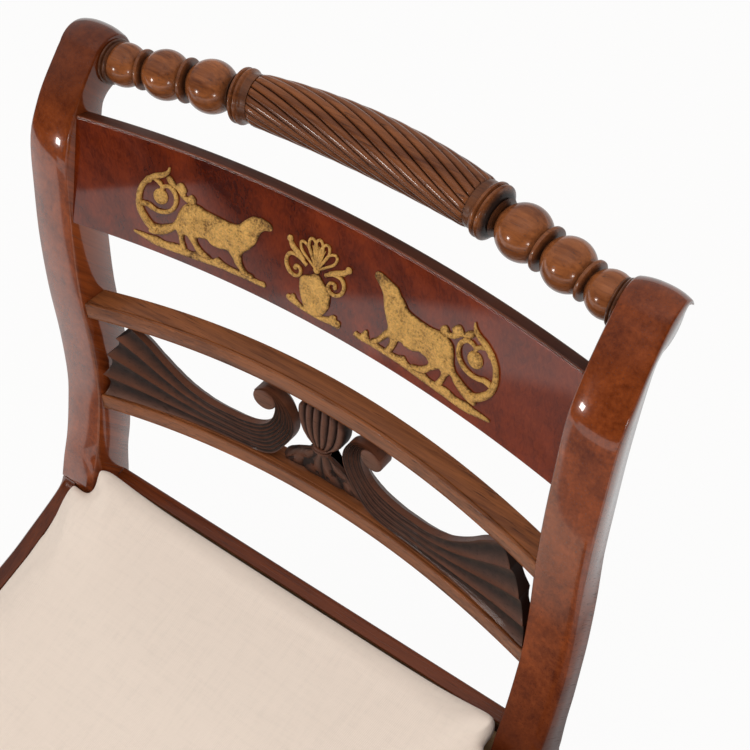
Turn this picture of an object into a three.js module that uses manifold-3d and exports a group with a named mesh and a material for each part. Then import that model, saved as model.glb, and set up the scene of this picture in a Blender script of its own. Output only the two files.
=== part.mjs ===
// A mahogany dining chair of the early nineteenth century, in millimetres, +Z up.
// The chair faces -Y and stands on its four feet, with the origin on the floor under the middle of its box.
// Two stiles run down into swept back legs. Between them stand a bowed top rail with a spiral-reeded
// centre and turned balls, a veneered tablet with gilt brass mounts, and two slim rails that hold a
// carved splat of two fluted scrolls and a shell. The seat is a stuffed frame that drops into a rebate.
import * as THREE from "three";
import { mergeVertices } from "three/addons/utils/BufferGeometryUtils.js";
import Module from "manifold-3d";

const wasm = await Module();
wasm.setup();

// Clearances and joinery
const gap = 0.3; // between pieces that touch
const weld = 0.0001; // points nearer than this are one point
const overrun = 1; // how far a cut runs past what it cuts
const tenonLength = 14;
const tenonShoulder = 2.5; // from a rail's faces to its tenon's
const mortiseEnd = 0.6; // room past the end of a tenon

// Seat frame of the chair
const backWidth = 448; // over the two stiles
const frontWidth = 486; // over the two front legs
const seatDepth = 378; // back of the back seat rail to front of the front seat rail
const backRailTop = 460; // above the floor
const backRailHeight = 60;
const backRailDepth = 28;
const backRailLip = 12; // the part of its top behind the drop-in seat
const frontRailTop = 446;
const frontRailDrop = 54; // height of the front seat rail
const frontRailDepth = 26;
const frontRailLip = 12;
const sideRailThickness = 30;
const sideRailLip = 15;
const sideRailDrop = 66; // from the back seat rail's top down to the side rails' lower edge
const sideRailRounding = 5; // of its outer top edge
const rebateDepth = 35; // from the back seat rail's top down to the shelf that the seat rests on

// Stiles and back legs
const stileWidth = 34;
const stileDepth = 35.4; // at the seat, front to back
const stileJointRise = 12; // from the back seat rail's top up to where the side rail meets the stile
const stileRise = 325.2; // from that joint up to the middle of the rolled head
const stileSweep = 179; // from that joint back to the middle of the head
const headRadius = 17.5;
const stileTaper = 4.5; // how much narrower its back is, on the outer side
const stileRounding = 8; // of the front edges, measured across the front
const stileCrown = 3; // how far the front face stands proud of its edges
const headRounding = 2; // of its inner end
const headEndRounding = 9; // of its outer end, along the axis
const backLegSweep = 100; // how far the back feet stand behind the back seat rail
const backLegSweepTop = 430; // the height where the sweep begins
const backLegPower = 1.7;
const backFootDepth = 29;

// Front legs
const frontLegWidth = 34;
const frontLegDepth = 36; // at the seat
const frontFootDepth = 26;
const frontFootWidth = 28;
const frontLegKick = 34; // how far the toes stand in front of the front seat rail
const frontLegPower = 1.9;
const frontLegRounding = 4;

// Top rail, turned and reeded on a bowed axis
const topRailSag = 22; // of its axis, over the space between the stiles
const reedLength = 168; // the spiral-reeded centre
const reedEndRadius = 16.5;
const reedMiddleRadius = 19.5;
const reedDepth = 1.9;
const reedCount = 18;
const reedTurns = 0.5;
const collarLength = 15;
const collarBandRadius = 15.8;
const collarRingRadius = 18.2;
const ballRadii = [17.4, 16.4, 14.5]; // from the reeded centre outwards
const ballPlaces = [116.6, 149.9, 179.7]; // from the middle of the rail
const discRadii = [14.6, 13.2]; // between the balls
const discThickness = 4;
const beadNeckRadius = 8.5;
const spigotRadius = 6;
const spigotLength = 12;

// Tablet and its veneer
const tabletDropBelowHead = 12.7; // from the head's middle down to the tablet's top
const tabletHeight = 78.4;
const tabletThickness = 11.5;
const tabletSag = 17.5;
const veneerThickness = 1;

// Splat rails and the carved splat
const splatBase = 94.4; // from the back seat rail's top up to the lower splat rail's top
const splatHeight = 87;
const splatRailHeight = 10.5;
const splatRailDepth = 20;
const splatRailSetback = 2; // behind the front of the stiles
const splatRailGroove = 1.2;
const splatSag = 26;
const splatThickness = 17;
const splatSetback = 1.5; // behind the front of its rails
const fanFluteDepth = 4; // of the flutes at the wide end of a scroll
const neckFluteDepth = 1.4;
const fluteCount = 4;
const fanNotch = 0.03; // how far the flutes' ends stand back between the fan's cusps, as a share of the scroll's run
const fanBulgeRun = 0.22; // share of the scroll's run over which the fan bulges
const rollRadius = 8.5; // of the flat button at the middle of a volute
const rollProud = 0.3; // how far the button stands out of the volute
const shellRibs = 6;
const shellRibDepth = 3;
const shellTopDrop = 9.5; // of the shell's outer ribs below its middle ones
const pegRadius = 2.5;
const pegLength = 14;

// Gilt brass mounts
const mountThickness = 2.2;
const beastLength = 106;
const beastHeight = 60;
const beastFromMiddle = 36; // from the middle of the tablet to the nearer end of a beast
const mountBase = 7; // from the tablet's lower edge up to the mounts
const ringWidth = 33; // of the foliate tail
const ringHeight = 45;
const ringBand = 3.6;
const berryRadius = 6;
const palmetteWidth = 47;
const palmetteHeight = 55;
const studRadius = 1.4;
const studLength = 5;

// Drop-in seat
const seatClearance = 1.2; // between the seat and the chair
const seatFrameHeight = 18;
const seatFrameWidth = 45;
const webbingThickness = 2.4;
const webbingWidth = 50;
const webbingStraps = 3; // each way
const sheetThickness = 1.2;
const cushionCrown = 20; // from its edge up to its middle
const cushionStand = 8; // its edge above the front seat rail
const cushionBackRise = 24; // from its front edge up to its back edge
const cushionRisePower = 5;
const cushionTuck = 4; // how far its sides draw in
const cushionStep = 34; // between the points along its edge
const cornerBlockLeg = 52;
const cornerBlockHeight = 24;

// Colours of the finishes
const finishes = {
  mahogany: new THREE.MeshStandardMaterial({ color: "#6f3421", roughness: 0.28, metalness: 0 }),
  flame: new THREE.MeshStandardMaterial({ color: "#571e0d", roughness: 0.2, metalness: 0 }),
  carved: new THREE.MeshStandardMaterial({ color: "#3f2a22", roughness: 0.55, metalness: 0 }),
  beech: new THREE.MeshStandardMaterial({ color: "#b08457", roughness: 0.7, metalness: 0 }),
  brass: new THREE.MeshStandardMaterial({ color: "#b68f3f", roughness: 0.4, metalness: 1 }),
  webbing: new THREE.MeshStandardMaterial({ color: "#b9a27c", roughness: 0.95, metalness: 0 }),
  hessian: new THREE.MeshStandardMaterial({ color: "#a98c61", roughness: 0.95, metalness: 0 }),
  linen: new THREE.MeshStandardMaterial({ color: "#e8dccd", roughness: 0.9, metalness: 0 }),
  lining: new THREE.MeshStandardMaterial({ color: "#2a2725", roughness: 0.95, metalness: 0 }),
};

// Places that many pieces share. Front is towards -Y.
const halfBack = backWidth / 2;
const halfFront = frontWidth / 2;
const stileInner = halfBack - stileWidth;
const topRailReach = stileSweep - stileDepth + topRailSag + reedMiddleRadius;
const rearPlane = (seatDepth + frontLegKick - topRailReach) / 2;
const frontPlane = rearPlane - seatDepth;
const jointFront = rearPlane - stileDepth;
const jointTop = backRailTop + stileJointRise;
const sideRailBottom = backRailTop - sideRailDrop;
const shelf = backRailTop - rebateDepth;
const head = new THREE.Vector2(jointFront + stileSweep, jointTop + stileRise);
const frontLegBack = frontPlane + frontLegDepth;

// The outline of a stile above the seat, front and rear, as shares of its sweep and its rise.
const stileFrontShares = [
  [0, 0], [0.059, 0.051], [0.134, 0.11], [0.218, 0.194], [0.282, 0.271], [0.352, 0.4],
  [0.416, 0.547], [0.499, 0.697], [0.589, 0.818], [0.679, 0.912], [0.762, 0.964], [0.832, 0.999],
];
const stileRearShares = [
  [0.218, -0.052], [0.273, 0.018], [0.335, 0.077], [0.402, 0.157], [0.464, 0.237], [0.536, 0.369],
  [0.598, 0.517], [0.676, 0.655], [0.746, 0.769], [0.816, 0.861], [0.877, 0.927], [0.917, 0.946],
];
const headFrontAngle = THREE.MathUtils.degToRad(140);
const headRearAngle = THREE.MathUtils.degToRad(-115);

// Shapes and solids

function solid(geometry) {
  const bare = geometry.clone();
  bare.deleteAttribute("normal");
  bare.deleteAttribute("uv");
  const merged = mergeVertices(bare, weld);
  return new wasm.Manifold(new wasm.Mesh({
    numProp: 3,
    vertProperties: Float32Array.from(merged.attributes.position.array),
    triVerts: Uint32Array.from(merged.index.array),
  }));
}

function geometryOf(body) {
  const mesh = body.getMesh();
  const geometry = new THREE.BufferGeometry();
  geometry.setAttribute("position", new THREE.BufferAttribute(mesh.vertProperties, 3));
  geometry.setIndex(new THREE.BufferAttribute(mesh.triVerts, 1));
  return geometry;
}

function mirrored(geometry) {
  const copy = geometry.clone().scale(-1, 1, 1);
  const index = copy.index.array;
  for (let i = 0; i < index.length; i += 3) {
    [index[i], index[i + 1]] = [index[i + 1], index[i]];
  }
  return copy;
}

// The triangles that close a ring of points, as index triples that turn the way the ring does.
function capTriangles(ring) {
  const normal = new THREE.Vector3();
  ring.forEach((point, i) => {
    normal.add(new THREE.Vector3().crossVectors(point, ring[(i + 1) % ring.length]));
  });
  normal.normalize();
  const across = new THREE.Vector3(normal.y, normal.z, normal.x).cross(normal).normalize();
  const up = new THREE.Vector3().crossVectors(normal, across);
  const flat = ring.map((point) => new THREE.Vector2(point.dot(across), point.dot(up)));
  const turn = Math.sign(THREE.ShapeUtils.area(flat));
  return THREE.ShapeUtils.triangulateShape(flat, []).map(([a, b, c]) => {
    const area = THREE.ShapeUtils.area([flat[a], flat[b], flat[c]]);
    return Math.sign(area) === turn ? [a, b, c] : [a, c, b];
  });
}

// A closed skin over a row of rings that all have the same number of points.
function loft(rings) {
  const count = rings[0].length;
  const last = (rings.length - 1) * count;
  const index = [];
  for (let i = 0; i + 1 < rings.length; i += 1) {
    for (let j = 0; j < count; j += 1) {
      const a = i * count + j;
      const b = i * count + ((j + 1) % count);
      index.push(a, b, b + count, a, b + count, a + count);
    }
  }
  capTriangles(rings[0]).forEach(([a, b, c]) => index.push(a, c, b));
  capTriangles(rings.at(-1)).forEach(([a, b, c]) => index.push(last + a, last + b, last + c));
  const points = rings.flat();
  let volume = 0;
  for (let i = 0; i < index.length; i += 3) {
    const [a, b, c] = [points[index[i]], points[index[i + 1]], points[index[i + 2]]];
    volume += a.dot(new THREE.Vector3().crossVectors(b, c));
  }
  const geometry = new THREE.BufferGeometry();
  const positions = points.flatMap((point) => [point.x, point.y, point.z]);
  geometry.setAttribute("position", new THREE.Float32BufferAttribute(positions, 3));
  geometry.setIndex(volume < 0 ? index.reverse() : index);
  return solid(geometry);
}

function box(x0, x1, y0, y1, z0, z1) {
  const geometry = new THREE.BoxGeometry(x1 - x0, y1 - y0, z1 - z0);
  return solid(geometry.translate((x0 + x1) / 2, (y0 + y1) / 2, (z0 + z1) / 2));
}

function rod(from, to, radius, sides = 12) {
  const along = new THREE.Vector3().subVectors(to, from);
  const geometry = new THREE.CylinderGeometry(radius, radius, along.length(), sides);
  const turn = new THREE.Quaternion().setFromUnitVectors(new THREE.Vector3(0, 1, 0), along.normalize());
  const middle = new THREE.Vector3().addVectors(from, to).divideScalar(2);
  return solid(geometry.applyQuaternion(turn).translate(middle.x, middle.y, middle.z));
}

// A plan outline pulled up from one height to another.
function slab(outline, z0, z1) {
  const shape = new THREE.Shape(outline);
  const geometry = new THREE.ExtrudeGeometry(shape, { depth: z1 - z0, bevelEnabled: false });
  return solid(geometry.translate(0, 0, z0));
}

const joined = (bodies) => bodies.reduce((whole, body) => whole.add(body));
const cut = (body, tools) => tools.reduce((rest, tool) => rest.subtract(tool), body);
const mix = THREE.MathUtils.lerp;
const steps = (count) => Array.from({ length: count + 1 }, (_, i) => i / count);

const chair = new THREE.Group();

function piece(name, shape, finish) {
  const geometry = shape.isBufferGeometry ? shape : geometryOf(shape);
  geometry.computeVertexNormals();
  const mesh = new THREE.Mesh(geometry, finish);
  mesh.name = name;
  chair.add(mesh);
}

function pair(name, shape, finish) {
  const right = geometryOf(shape);
  piece(`${name}_left`, mirrored(right), finish);
  piece(`${name}_right`, right, finish);
}

// A plane that leans back between the stiles and is bowed backwards in plan. A place on it is given by
// x, by t up the lean and by d behind its front.
function leaningPlane(low, high, sag) {
  const up = new THREE.Vector2().subVectors(high, low).normalize();
  return {
    length: low.distanceTo(high),
    up: new THREE.Vector3(0, up.x, up.y),
    at: (x, t, d) => new THREE.Vector3(
      x,
      low.x + t * up.x + d * up.y + sag * (1 - (x / stileInner) ** 2),
      low.y + t * up.y - d * up.x,
    ),
  };
}

function straightBar(plane, x0, x1, t0, t1, d0, d1) {
  const end = (x) => [[t0, d0], [t0, d1], [t1, d1], [t1, d0]].map(([t, d]) => {
    const place = plane.at(stileInner, t, d);
    return new THREE.Vector3(x, place.y, place.z);
  });
  return loft([end(x0), end(x1)]);
}

function bowedBar(plane, reach, section, stations) {
  const ring = (x) => section.map(([t, d]) => plane.at(x, t, d));
  return loft(steps(stations).map((s) => ring(mix(-reach, reach, s))));
}

// The two tenons of a rail between the stiles, or their mortises when they are grown by a clearance.
function tenons(plane, t0, t1, d0, d1, grow, longer) {
  const inset = grow > 0 ? overrun : tenonShoulder;
  const right = straightBar(plane, stileInner - inset, stileInner + tenonLength + longer,
    t0 - grow, t1 + grow, d0 - grow, d1 + grow);
  const left = straightBar(plane, -stileInner + inset, -stileInner - tenonLength - longer,
    t0 - grow, t1 + grow, d0 - grow, d1 + grow);
  return { left, right, both: right.add(left) };
}

// Outline of the stiles: the front and rear edges as curves of matching points.
const stileEdge = (shares) => shares.map(([y, z]) => (
  new THREE.Vector2(jointFront + y * stileSweep, jointTop + z * stileRise)
));
const onHead = (angle) => new THREE.Vector2(
  head.x + headRadius * Math.cos(angle),
  head.y + headRadius * Math.sin(angle),
);
const stileFront = new THREE.SplineCurve([...stileEdge(stileFrontShares), onHead(headFrontAngle)]);
const stileRear = new THREE.SplineCurve([...stileEdge(stileRearShares), onHead(headRearAngle)]);
const stileFrontPoints = stileFront.getPoints(120);

function stileFrontAt(z) {
  const i = stileFrontPoints.findIndex((point) => point.y > z);
  const [a, b] = [stileFrontPoints[i - 1], stileFrontPoints[i]];
  return mix(a.x, b.x, (z - a.y) / (b.y - a.y));
}

const backLegRear = (z) => (
  rearPlane + backLegSweep * Math.max(0, 1 - z / backLegSweepTop) ** backLegPower
);
const kneeDepth = backLegRear(sideRailBottom) - jointFront;
const backLegFront = (z) => (
  backLegRear(z) - mix(backFootDepth, kneeDepth, z / sideRailBottom)
);

// Section of a stile between a front and a rear point. The front is crowned where crown is 1.
function stileSection(front, rear, crown, taper) {
  const outer = halfBack;
  const inner = stileInner;
  const round = stileRounding * crown;
  const rise = stileCrown * crown;
  const back = new THREE.Vector2().subVectors(rear, front).normalize();
  const point = (x, depth) => new THREE.Vector3(x, front.x + back.x * depth, front.y + back.y * depth);
  const middle = (outer + inner) / 2;
  return [
    new THREE.Vector3(inner, rear.x, rear.y),
    point(inner, rise),
    point(inner + round / 3, rise / 3),
    point(inner + round, 0),
    point(middle, 0),
    point(outer - round, 0),
    point(outer - round / 3, rise / 3),
    point(outer, rise),
    new THREE.Vector3(outer - stileTaper * taper, rear.x, rear.y),
  ];
}

const tabletTop = head.y - tabletDropBelowHead;
const tabletTopPoint = new THREE.Vector2(stileFrontAt(tabletTop), tabletTop);
const tabletLean = new THREE.Vector2().subVectors(
  tabletTopPoint,
  new THREE.Vector2(stileFrontAt(tabletTop - tabletHeight), tabletTop - tabletHeight),
).normalize();
const tabletFoot = tabletTopPoint.clone().addScaledVector(tabletLean, -tabletHeight);
const tabletPlane = leaningPlane(tabletFoot, tabletTopPoint, tabletSag);

const splatLow = backRailTop + splatBase;
const splatFoot = new THREE.Vector2(stileFrontAt(splatLow) + splatRailSetback, splatLow);
const splatTopPoint = new THREE.Vector2(
  stileFrontAt(splatLow + splatHeight) + splatRailSetback,
  splatLow + splatHeight,
);
const splatLean = new THREE.Vector2().subVectors(splatTopPoint, splatFoot).normalize();
const splatPlane = leaningPlane(
  splatFoot,
  splatFoot.clone().addScaledVector(splatLean, splatHeight),
  splatSag,
);

// Mortises for one stile, at the right-hand side
const tabletTenon = (grow, longer) => tenons(tabletPlane, tenonShoulder, tabletHeight - tenonShoulder,
  veneerThickness + tenonShoulder, tabletThickness - tenonShoulder / 2, grow, longer);
const lowerTenon = (grow, longer) => tenons(splatPlane, -splatRailHeight + tenonShoulder / 2,
  -tenonShoulder / 2, tenonShoulder * 2, splatRailDepth - tenonShoulder * 2, grow, longer);
const upperTenon = (grow, longer) => tenons(splatPlane, splatHeight + tenonShoulder / 2,
  splatHeight + splatRailHeight - tenonShoulder / 2, tenonShoulder * 2,
  splatRailDepth - tenonShoulder * 2, grow, longer);
const seatTenonTop = shelf - tenonShoulder * 2;
const backRailFront = rearPlane - backRailDepth;
const backRailBottom = backRailTop - backRailHeight;
const backRailTenon = (inset, grow) => box(stileInner - inset, stileInner + tenonLength + grow * 2,
  backRailFront + tenonShoulder * 2 - grow, rearPlane - tenonShoulder * 2 + grow,
  backRailBottom + tenonShoulder * 2 - grow, seatTenonTop + grow);
const sideTenonInner = halfBack - sideRailThickness + tenonShoulder * 3;
const sideTenonOuter = halfBack - tenonShoulder * 3;
const sideTenonBottom = sideRailBottom + tenonShoulder * 3;
const sideTenonLength = tenonLength - tenonShoulder * 2;
const sideRailTenonBack = (inset, grow) => box(sideTenonInner - grow, sideTenonOuter + grow,
  jointFront - inset, jointFront + sideTenonLength + grow * 2,
  sideTenonBottom - grow, seatTenonTop + grow);
const headPoint = new THREE.Vector3(stileInner, head.x, head.y);
const headPin = (inset, grow) => rod(
  headPoint.clone().add(new THREE.Vector3(-inset, 0, 0)),
  headPoint.clone().add(new THREE.Vector3(tenonLength + grow, 0, 0)),
  spigotRadius + grow,
);

function stile() {
  const rings = [];
  steps(9).forEach((s) => {
    const z = s * sideRailBottom;
    const crown = Math.min(1, (1 - s) * 4);
    rings.push(stileSection(
      new THREE.Vector2(backLegFront(z), z),
      new THREE.Vector2(backLegRear(z), z),
      crown,
      0,
    ));
  });
  rings.push(stileSection(
    new THREE.Vector2(jointFront, mix(sideRailBottom, jointTop, 0.5)),
    new THREE.Vector2(rearPlane, mix(sideRailBottom, jointTop, 0.45)),
    0,
    0,
  ));
  steps(18).forEach((s) => {
    const taper = Math.min(1, s * 2);
    rings.push(stileSection(stileFront.getPoint(s), stileRear.getPoint(s), Math.min(1, s * 8), taper));
  });
  const body = loft(rings);
  const rolledHead = new THREE.LatheGeometry([
    new THREE.Vector2(0, 0),
    new THREE.Vector2(headRadius - headRounding / 2, 0),
    new THREE.Vector2(headRadius, headRounding),
    new THREE.Vector2(headRadius, stileWidth - headEndRounding),
    new THREE.Vector2(headRadius - headEndRounding * 0.12, stileWidth - headEndRounding * 0.5),
    new THREE.Vector2(headRadius - headEndRounding * 0.4, stileWidth - headEndRounding * 0.15),
    new THREE.Vector2(headRadius - headEndRounding * 0.8, stileWidth),
    new THREE.Vector2(0, stileWidth),
  ], 20);
  rolledHead.rotateZ(-Math.PI / 2).translate(stileInner, head.x, head.y);
  return cut(body.add(solid(rolledHead)), [
    tabletTenon(gap, mortiseEnd).right,
    lowerTenon(gap, mortiseEnd).right,
    upperTenon(gap, mortiseEnd).right,
    backRailTenon(overrun, gap),
    sideRailTenonBack(overrun, gap),
    headPin(overrun, gap),
  ]);
}

pair("stile", stile(), finishes.mahogany);

// Side seat rails: the top sweeps down from the stile and runs on in a shallow dip to the front leg.
const sideRailTopShares = [
  [0, 1], [0.035, 0.68], [0.155, 0.3], [0.26, 0.05], [0.48, -0.16], [0.76, -0.16], [1, 0],
];
const sideRailRun = jointFront - frontLegBack;
const sideRailTop = new THREE.SplineCurve(sideRailTopShares.map(([along, share]) => new THREE.Vector2(
  jointFront - along * sideRailRun,
  frontRailTop + share * (jointTop - frontRailTop),
)));
const sideRailOuter = (y) => mix(halfBack, halfFront, (jointFront - y) / sideRailRun);
const sideTenonFront = (inset, grow) => box(
  halfFront - sideRailThickness + tenonShoulder * 3 - grow, halfFront - tenonShoulder * 3 + grow,
  frontLegBack - sideTenonLength - grow * 2, frontLegBack + inset,
  sideTenonBottom - grow, seatTenonTop + grow,
);

function sideRail() {
  const section = (point) => {
    const outer = sideRailOuter(point.x);
    const lip = outer - sideRailLip;
    const inner = outer - sideRailThickness;
    const round = sideRailRounding;
    return [
      [inner, sideRailBottom], [outer, sideRailBottom], [outer, point.y - round],
      [outer - round * 0.3, point.y - round * 0.3], [outer - round, point.y], [lip, point.y],
      [lip, shelf], [inner, shelf],
    ].map(([x, z]) => new THREE.Vector3(x, point.x, z));
  };
  const body = loft(sideRailTop.getPoints(14).map(section));
  const trimmed = cut(body, [
    box(0, frontWidth, jointFront - gap, rearPlane, 0, backRailTop * 2),
    box(0, frontWidth, frontPlane, frontLegBack + gap, 0, backRailTop * 2),
  ]);
  return joined([
    trimmed,
    sideRailTenonBack(tenonShoulder * 2, 0),
    sideTenonFront(tenonShoulder * 2, 0),
  ]);
}

pair("side_rail", sideRail(), finishes.mahogany);

// Front legs: sabre shaped, cut away at the top for the corner of the drop-in seat.
const frontRailFront = frontPlane;
const frontRailBack = frontPlane + frontRailDepth;
const frontRailBottom = frontRailTop - frontRailDrop;
const frontTenonTop = shelf - tenonShoulder * 2;
const frontLegInner = halfFront - frontLegWidth;
const frontRailTenon = (inset, grow) => box(
  frontLegInner - inset, frontLegInner + tenonLength + grow * 2,
  frontRailFront + tenonShoulder * 2 - grow, frontRailBack - tenonShoulder * 2 + grow,
  frontRailBottom + tenonShoulder * 2 - grow, frontTenonTop + grow,
);

function frontLeg() {
  const section = (z) => {
    const rise = Math.min(1, z / frontRailBottom);
    const front = frontPlane - frontLegKick * (1 - rise) ** frontLegPower;
    const depth = mix(frontFootDepth, frontLegDepth, rise);
    const width = mix(frontFootWidth, frontLegWidth, rise);
    const outer = halfFront;
    const inner = outer - width;
    const round = frontLegRounding * Math.min(1, Math.max(0, 1 - rise) * 5);
    return [
      [inner, front + round * 0.3], [inner + round * 0.3, front], [outer - round, front],
      [outer - round * 0.3, front + round * 0.3], [outer, front + round], [outer, front + depth],
      [inner, front + depth],
    ].map(([x, y]) => new THREE.Vector3(x, y, z));
  };
  const heights = [...steps(12).map((s) => s * frontRailBottom), frontRailTop];
  return cut(loft(heights.map(section)), [
    box(0, halfFront - sideRailLip, frontPlane + frontRailLip, frontLegBack + overrun,
      shelf, frontRailTop + overrun),
    sideTenonFront(overrun, gap),
    frontRailTenon(overrun, gap),
  ]);
}

pair("front_leg", frontLeg(), finishes.mahogany);

function frontSeatRail() {
  const reach = frontLegInner - gap;
  const body = cut(
    box(-reach, reach, frontRailFront, frontRailBack, frontRailBottom, frontRailTop),
    [box(-halfFront, halfFront, frontPlane + frontRailLip, frontRailBack + overrun,
      shelf, frontRailTop + overrun)],
  );
  const tenon = frontRailTenon(tenonShoulder, 0);
  return joined([body, tenon, solid(mirrored(geometryOf(tenon)))]);
}

piece("front_seat_rail", frontSeatRail(), finishes.mahogany);

function backSeatRail() {
  const reach = stileInner - gap;
  const body = cut(
    box(-reach, reach, backRailFront, rearPlane, backRailBottom, backRailTop),
    [box(-halfBack, halfBack, backRailFront - overrun, rearPlane - backRailLip,
      shelf, backRailTop + overrun)],
  );
  const tenon = backRailTenon(tenonShoulder, 0);
  return joined([body, tenon, solid(mirrored(geometryOf(tenon)))]);
}

piece("back_seat_rail", backSeatRail(), finishes.mahogany);

// Corner blocks glued into the corners under the seat
const blockTop = shelf - gap * 4;
const blockBottom = blockTop - cornerBlockHeight;
const sideRailInnerAt = (y) => sideRailOuter(y) - sideRailThickness - gap;

function cornerBlockOutline(front) {
  const wall = front ? frontRailBack + gap : backRailFront - gap;
  const away = front ? 1 : -1;
  const clearOfPost = front ? frontLegInner - gap : stileInner - gap;
  const post = front ? frontLegBack + gap : jointFront - gap;
  return [
    new THREE.Vector2(clearOfPost, wall),
    new THREE.Vector2(clearOfPost, post),
    new THREE.Vector2(sideRailInnerAt(post), post),
    new THREE.Vector2(sideRailInnerAt(post + away * cornerBlockLeg), post + away * cornerBlockLeg),
    new THREE.Vector2(clearOfPost - cornerBlockLeg, wall),
  ];
}

[false, true].forEach((front) => {
  const block = slab(cornerBlockOutline(front), blockBottom, blockTop);
  pair(`corner_block_${front ? "front" : "back"}`, block, finishes.beech);
});

// Top rail. Its axis bows backwards between the heads of the stiles.
const topRailPoint = (x) => new THREE.Vector3(
  x,
  head.x + topRailSag * (1 - (x / stileInner) ** 2),
  head.y,
);

function topRailRing(x, radii, turn) {
  const slope = (-2 * topRailSag * x) / stileInner ** 2;
  const along = new THREE.Vector3(1, slope, 0).normalize();
  const level = new THREE.Vector3(-along.y, along.x, 0);
  const centre = topRailPoint(x);
  return radii.map((radius, i) => {
    const angle = turn + (i / radii.length) * 2 * Math.PI;
    return centre.clone()
      .addScaledVector(level, radius * Math.cos(angle))
      .add(new THREE.Vector3(0, 0, radius * Math.sin(angle)));
  });
}

function axisPoint(x, beyond) {
  const slope = (-2 * topRailSag * x) / stileInner ** 2;
  return topRailPoint(x).add(new THREE.Vector3(1, slope, 0).normalize().multiplyScalar(beyond));
}

// Half of the collar's outline: distances outwards from the reeding as shares, and radii.
const collarShares = [[0, 0], [0.3, 0.05], [0.42, 0.75], [0.56, 1], [0.7, 0.7], [0.78, 0.95], [0.9, 0.9], [1, 0.3]];
const collarRadiusAt = (share) => mix(collarBandRadius, collarRingRadius, share);

function reededCentre() {
  const half = reedLength / 2;
  const reedPoints = 3;
  const reeded = (s) => {
    const x = mix(-half, half, s);
    const outer = mix(reedEndRadius, reedMiddleRadius, Math.sin(s * Math.PI) ** 0.8);
    const depth = reedDepth * Math.min(1, Math.sin(s * Math.PI) * 5 + 0.35);
    const radii = Array.from({ length: reedCount * reedPoints }, (_, i) => (
      outer - depth * [1, 0, 0][i % reedPoints]
    ));
    return topRailRing(x, radii, s * reedTurns * 2 * Math.PI);
  };
  const body = loft(steps(16).map(reeded));
  const plain = (x, radius) => topRailRing(x, Array(20).fill(radius), 0);
  const ends = [-1, 1].map((side) => loft([
    plain(side * (half - overrun), collarBandRadius - reedDepth),
    ...collarShares.map(([along, share]) => plain(side * (half + along * collarLength), collarRadiusAt(share))),
  ]));
  const end = half + collarLength;
  return cut(joined([body, ...ends]), [-1, 1].map((side) => rod(
    axisPoint(side * end, side * overrun),
    axisPoint(side * end, -side * (spigotLength + mortiseEnd)),
    spigotRadius + gap,
  )));
}

piece("top_rail_reeded_centre", reededCentre(), finishes.mahogany);

// Radius of the row of balls and discs at a distance from the middle of the rail
function beadRadius(x) {
  const balls = ballPlaces.map((place, i) => Math.sqrt(Math.max(0, ballRadii[i] ** 2 - (x - place) ** 2)));
  const discs = discRadii.map((radius, i) => {
    const middle = (ballPlaces[i] + ballRadii[i] + ballPlaces[i + 1] - ballRadii[i + 1]) / 2;
    const off = Math.abs(x - middle) / (discThickness / 2);
    return off < 1 ? mix(beadNeckRadius, radius, Math.sqrt(1 - off ** 2)) : 0;
  });
  return Math.max(beadNeckRadius, ...balls, ...discs);
}

function beads() {
  const start = reedLength / 2 + collarLength + gap;
  const places = [start];
  ballPlaces.forEach((place, i) => {
    const radius = ballRadii[i];
    [-0.84, -0.45, 0, 0.45, 0.84].forEach((share) => places.push(place + share * radius));
    if (i + 1 < ballPlaces.length) {
      const next = ballPlaces[i + 1] - ballRadii[i + 1];
      const middle = (place + radius + next) / 2;
      const half = discThickness / 2;
      places.push(middle - half - gap, middle - half * 0.7, middle + half * 0.7, middle + half + gap);
    }
  });
  const rings = places.map((x) => topRailRing(x, Array(16).fill(beadRadius(x)), 0));
  const body = loft(rings).subtract(box(stileInner - gap, halfBack * 2, 0, head.x * 2, 0, head.y * 2));
  const inner = rod(
    axisPoint(start, overrun),
    axisPoint(start, -(spigotLength + gap)),
    spigotRadius,
  );
  return joined([body, inner, headPin(ballRadii[2] / 2, 0)]);
}

pair("top_rail_balls", beads(), finishes.mahogany);

// Tablet, with blind holes for the studs of the mounts
const tabletReach = stileInner - gap;
const tabletCore = [
  [0, veneerThickness + gap], [0, tabletThickness], [tabletHeight, tabletThickness],
  [tabletHeight, veneerThickness + gap],
];
const veneerSection = [[0, 0], [0, veneerThickness], [tabletHeight, veneerThickness], [tabletHeight, 0]];
const mountStudPlaces = [
  [beastFromMiddle + beastLength * 0.28, mountBase + beastHeight * 0.5],
  [beastFromMiddle + beastLength * 0.56, mountBase + beastHeight * 0.52],
];
const palmetteStudPlace = [0, mountBase + palmetteHeight * 0.3];
const studPlaces = [
  ...mountStudPlaces,
  ...mountStudPlaces.map(([x, t]) => [-x, t]),
  palmetteStudPlace,
];
const stud = ([x, t], start, end, radius) => rod(
  tabletPlane.at(x, t, start),
  tabletPlane.at(x, t, end),
  radius,
  8,
);
const studHoles = studPlaces.map((place) => stud(place, -overrun, studLength + gap * 2, studRadius + gap));

piece("tablet_rail", joined([
  cut(bowedBar(tabletPlane, tabletReach, tabletCore, 20), studHoles),
  tabletTenon(0, 0).both,
]), finishes.mahogany);
piece("tablet_veneer", cut(bowedBar(tabletPlane, tabletReach, veneerSection, 20), studHoles), finishes.flame);

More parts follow.
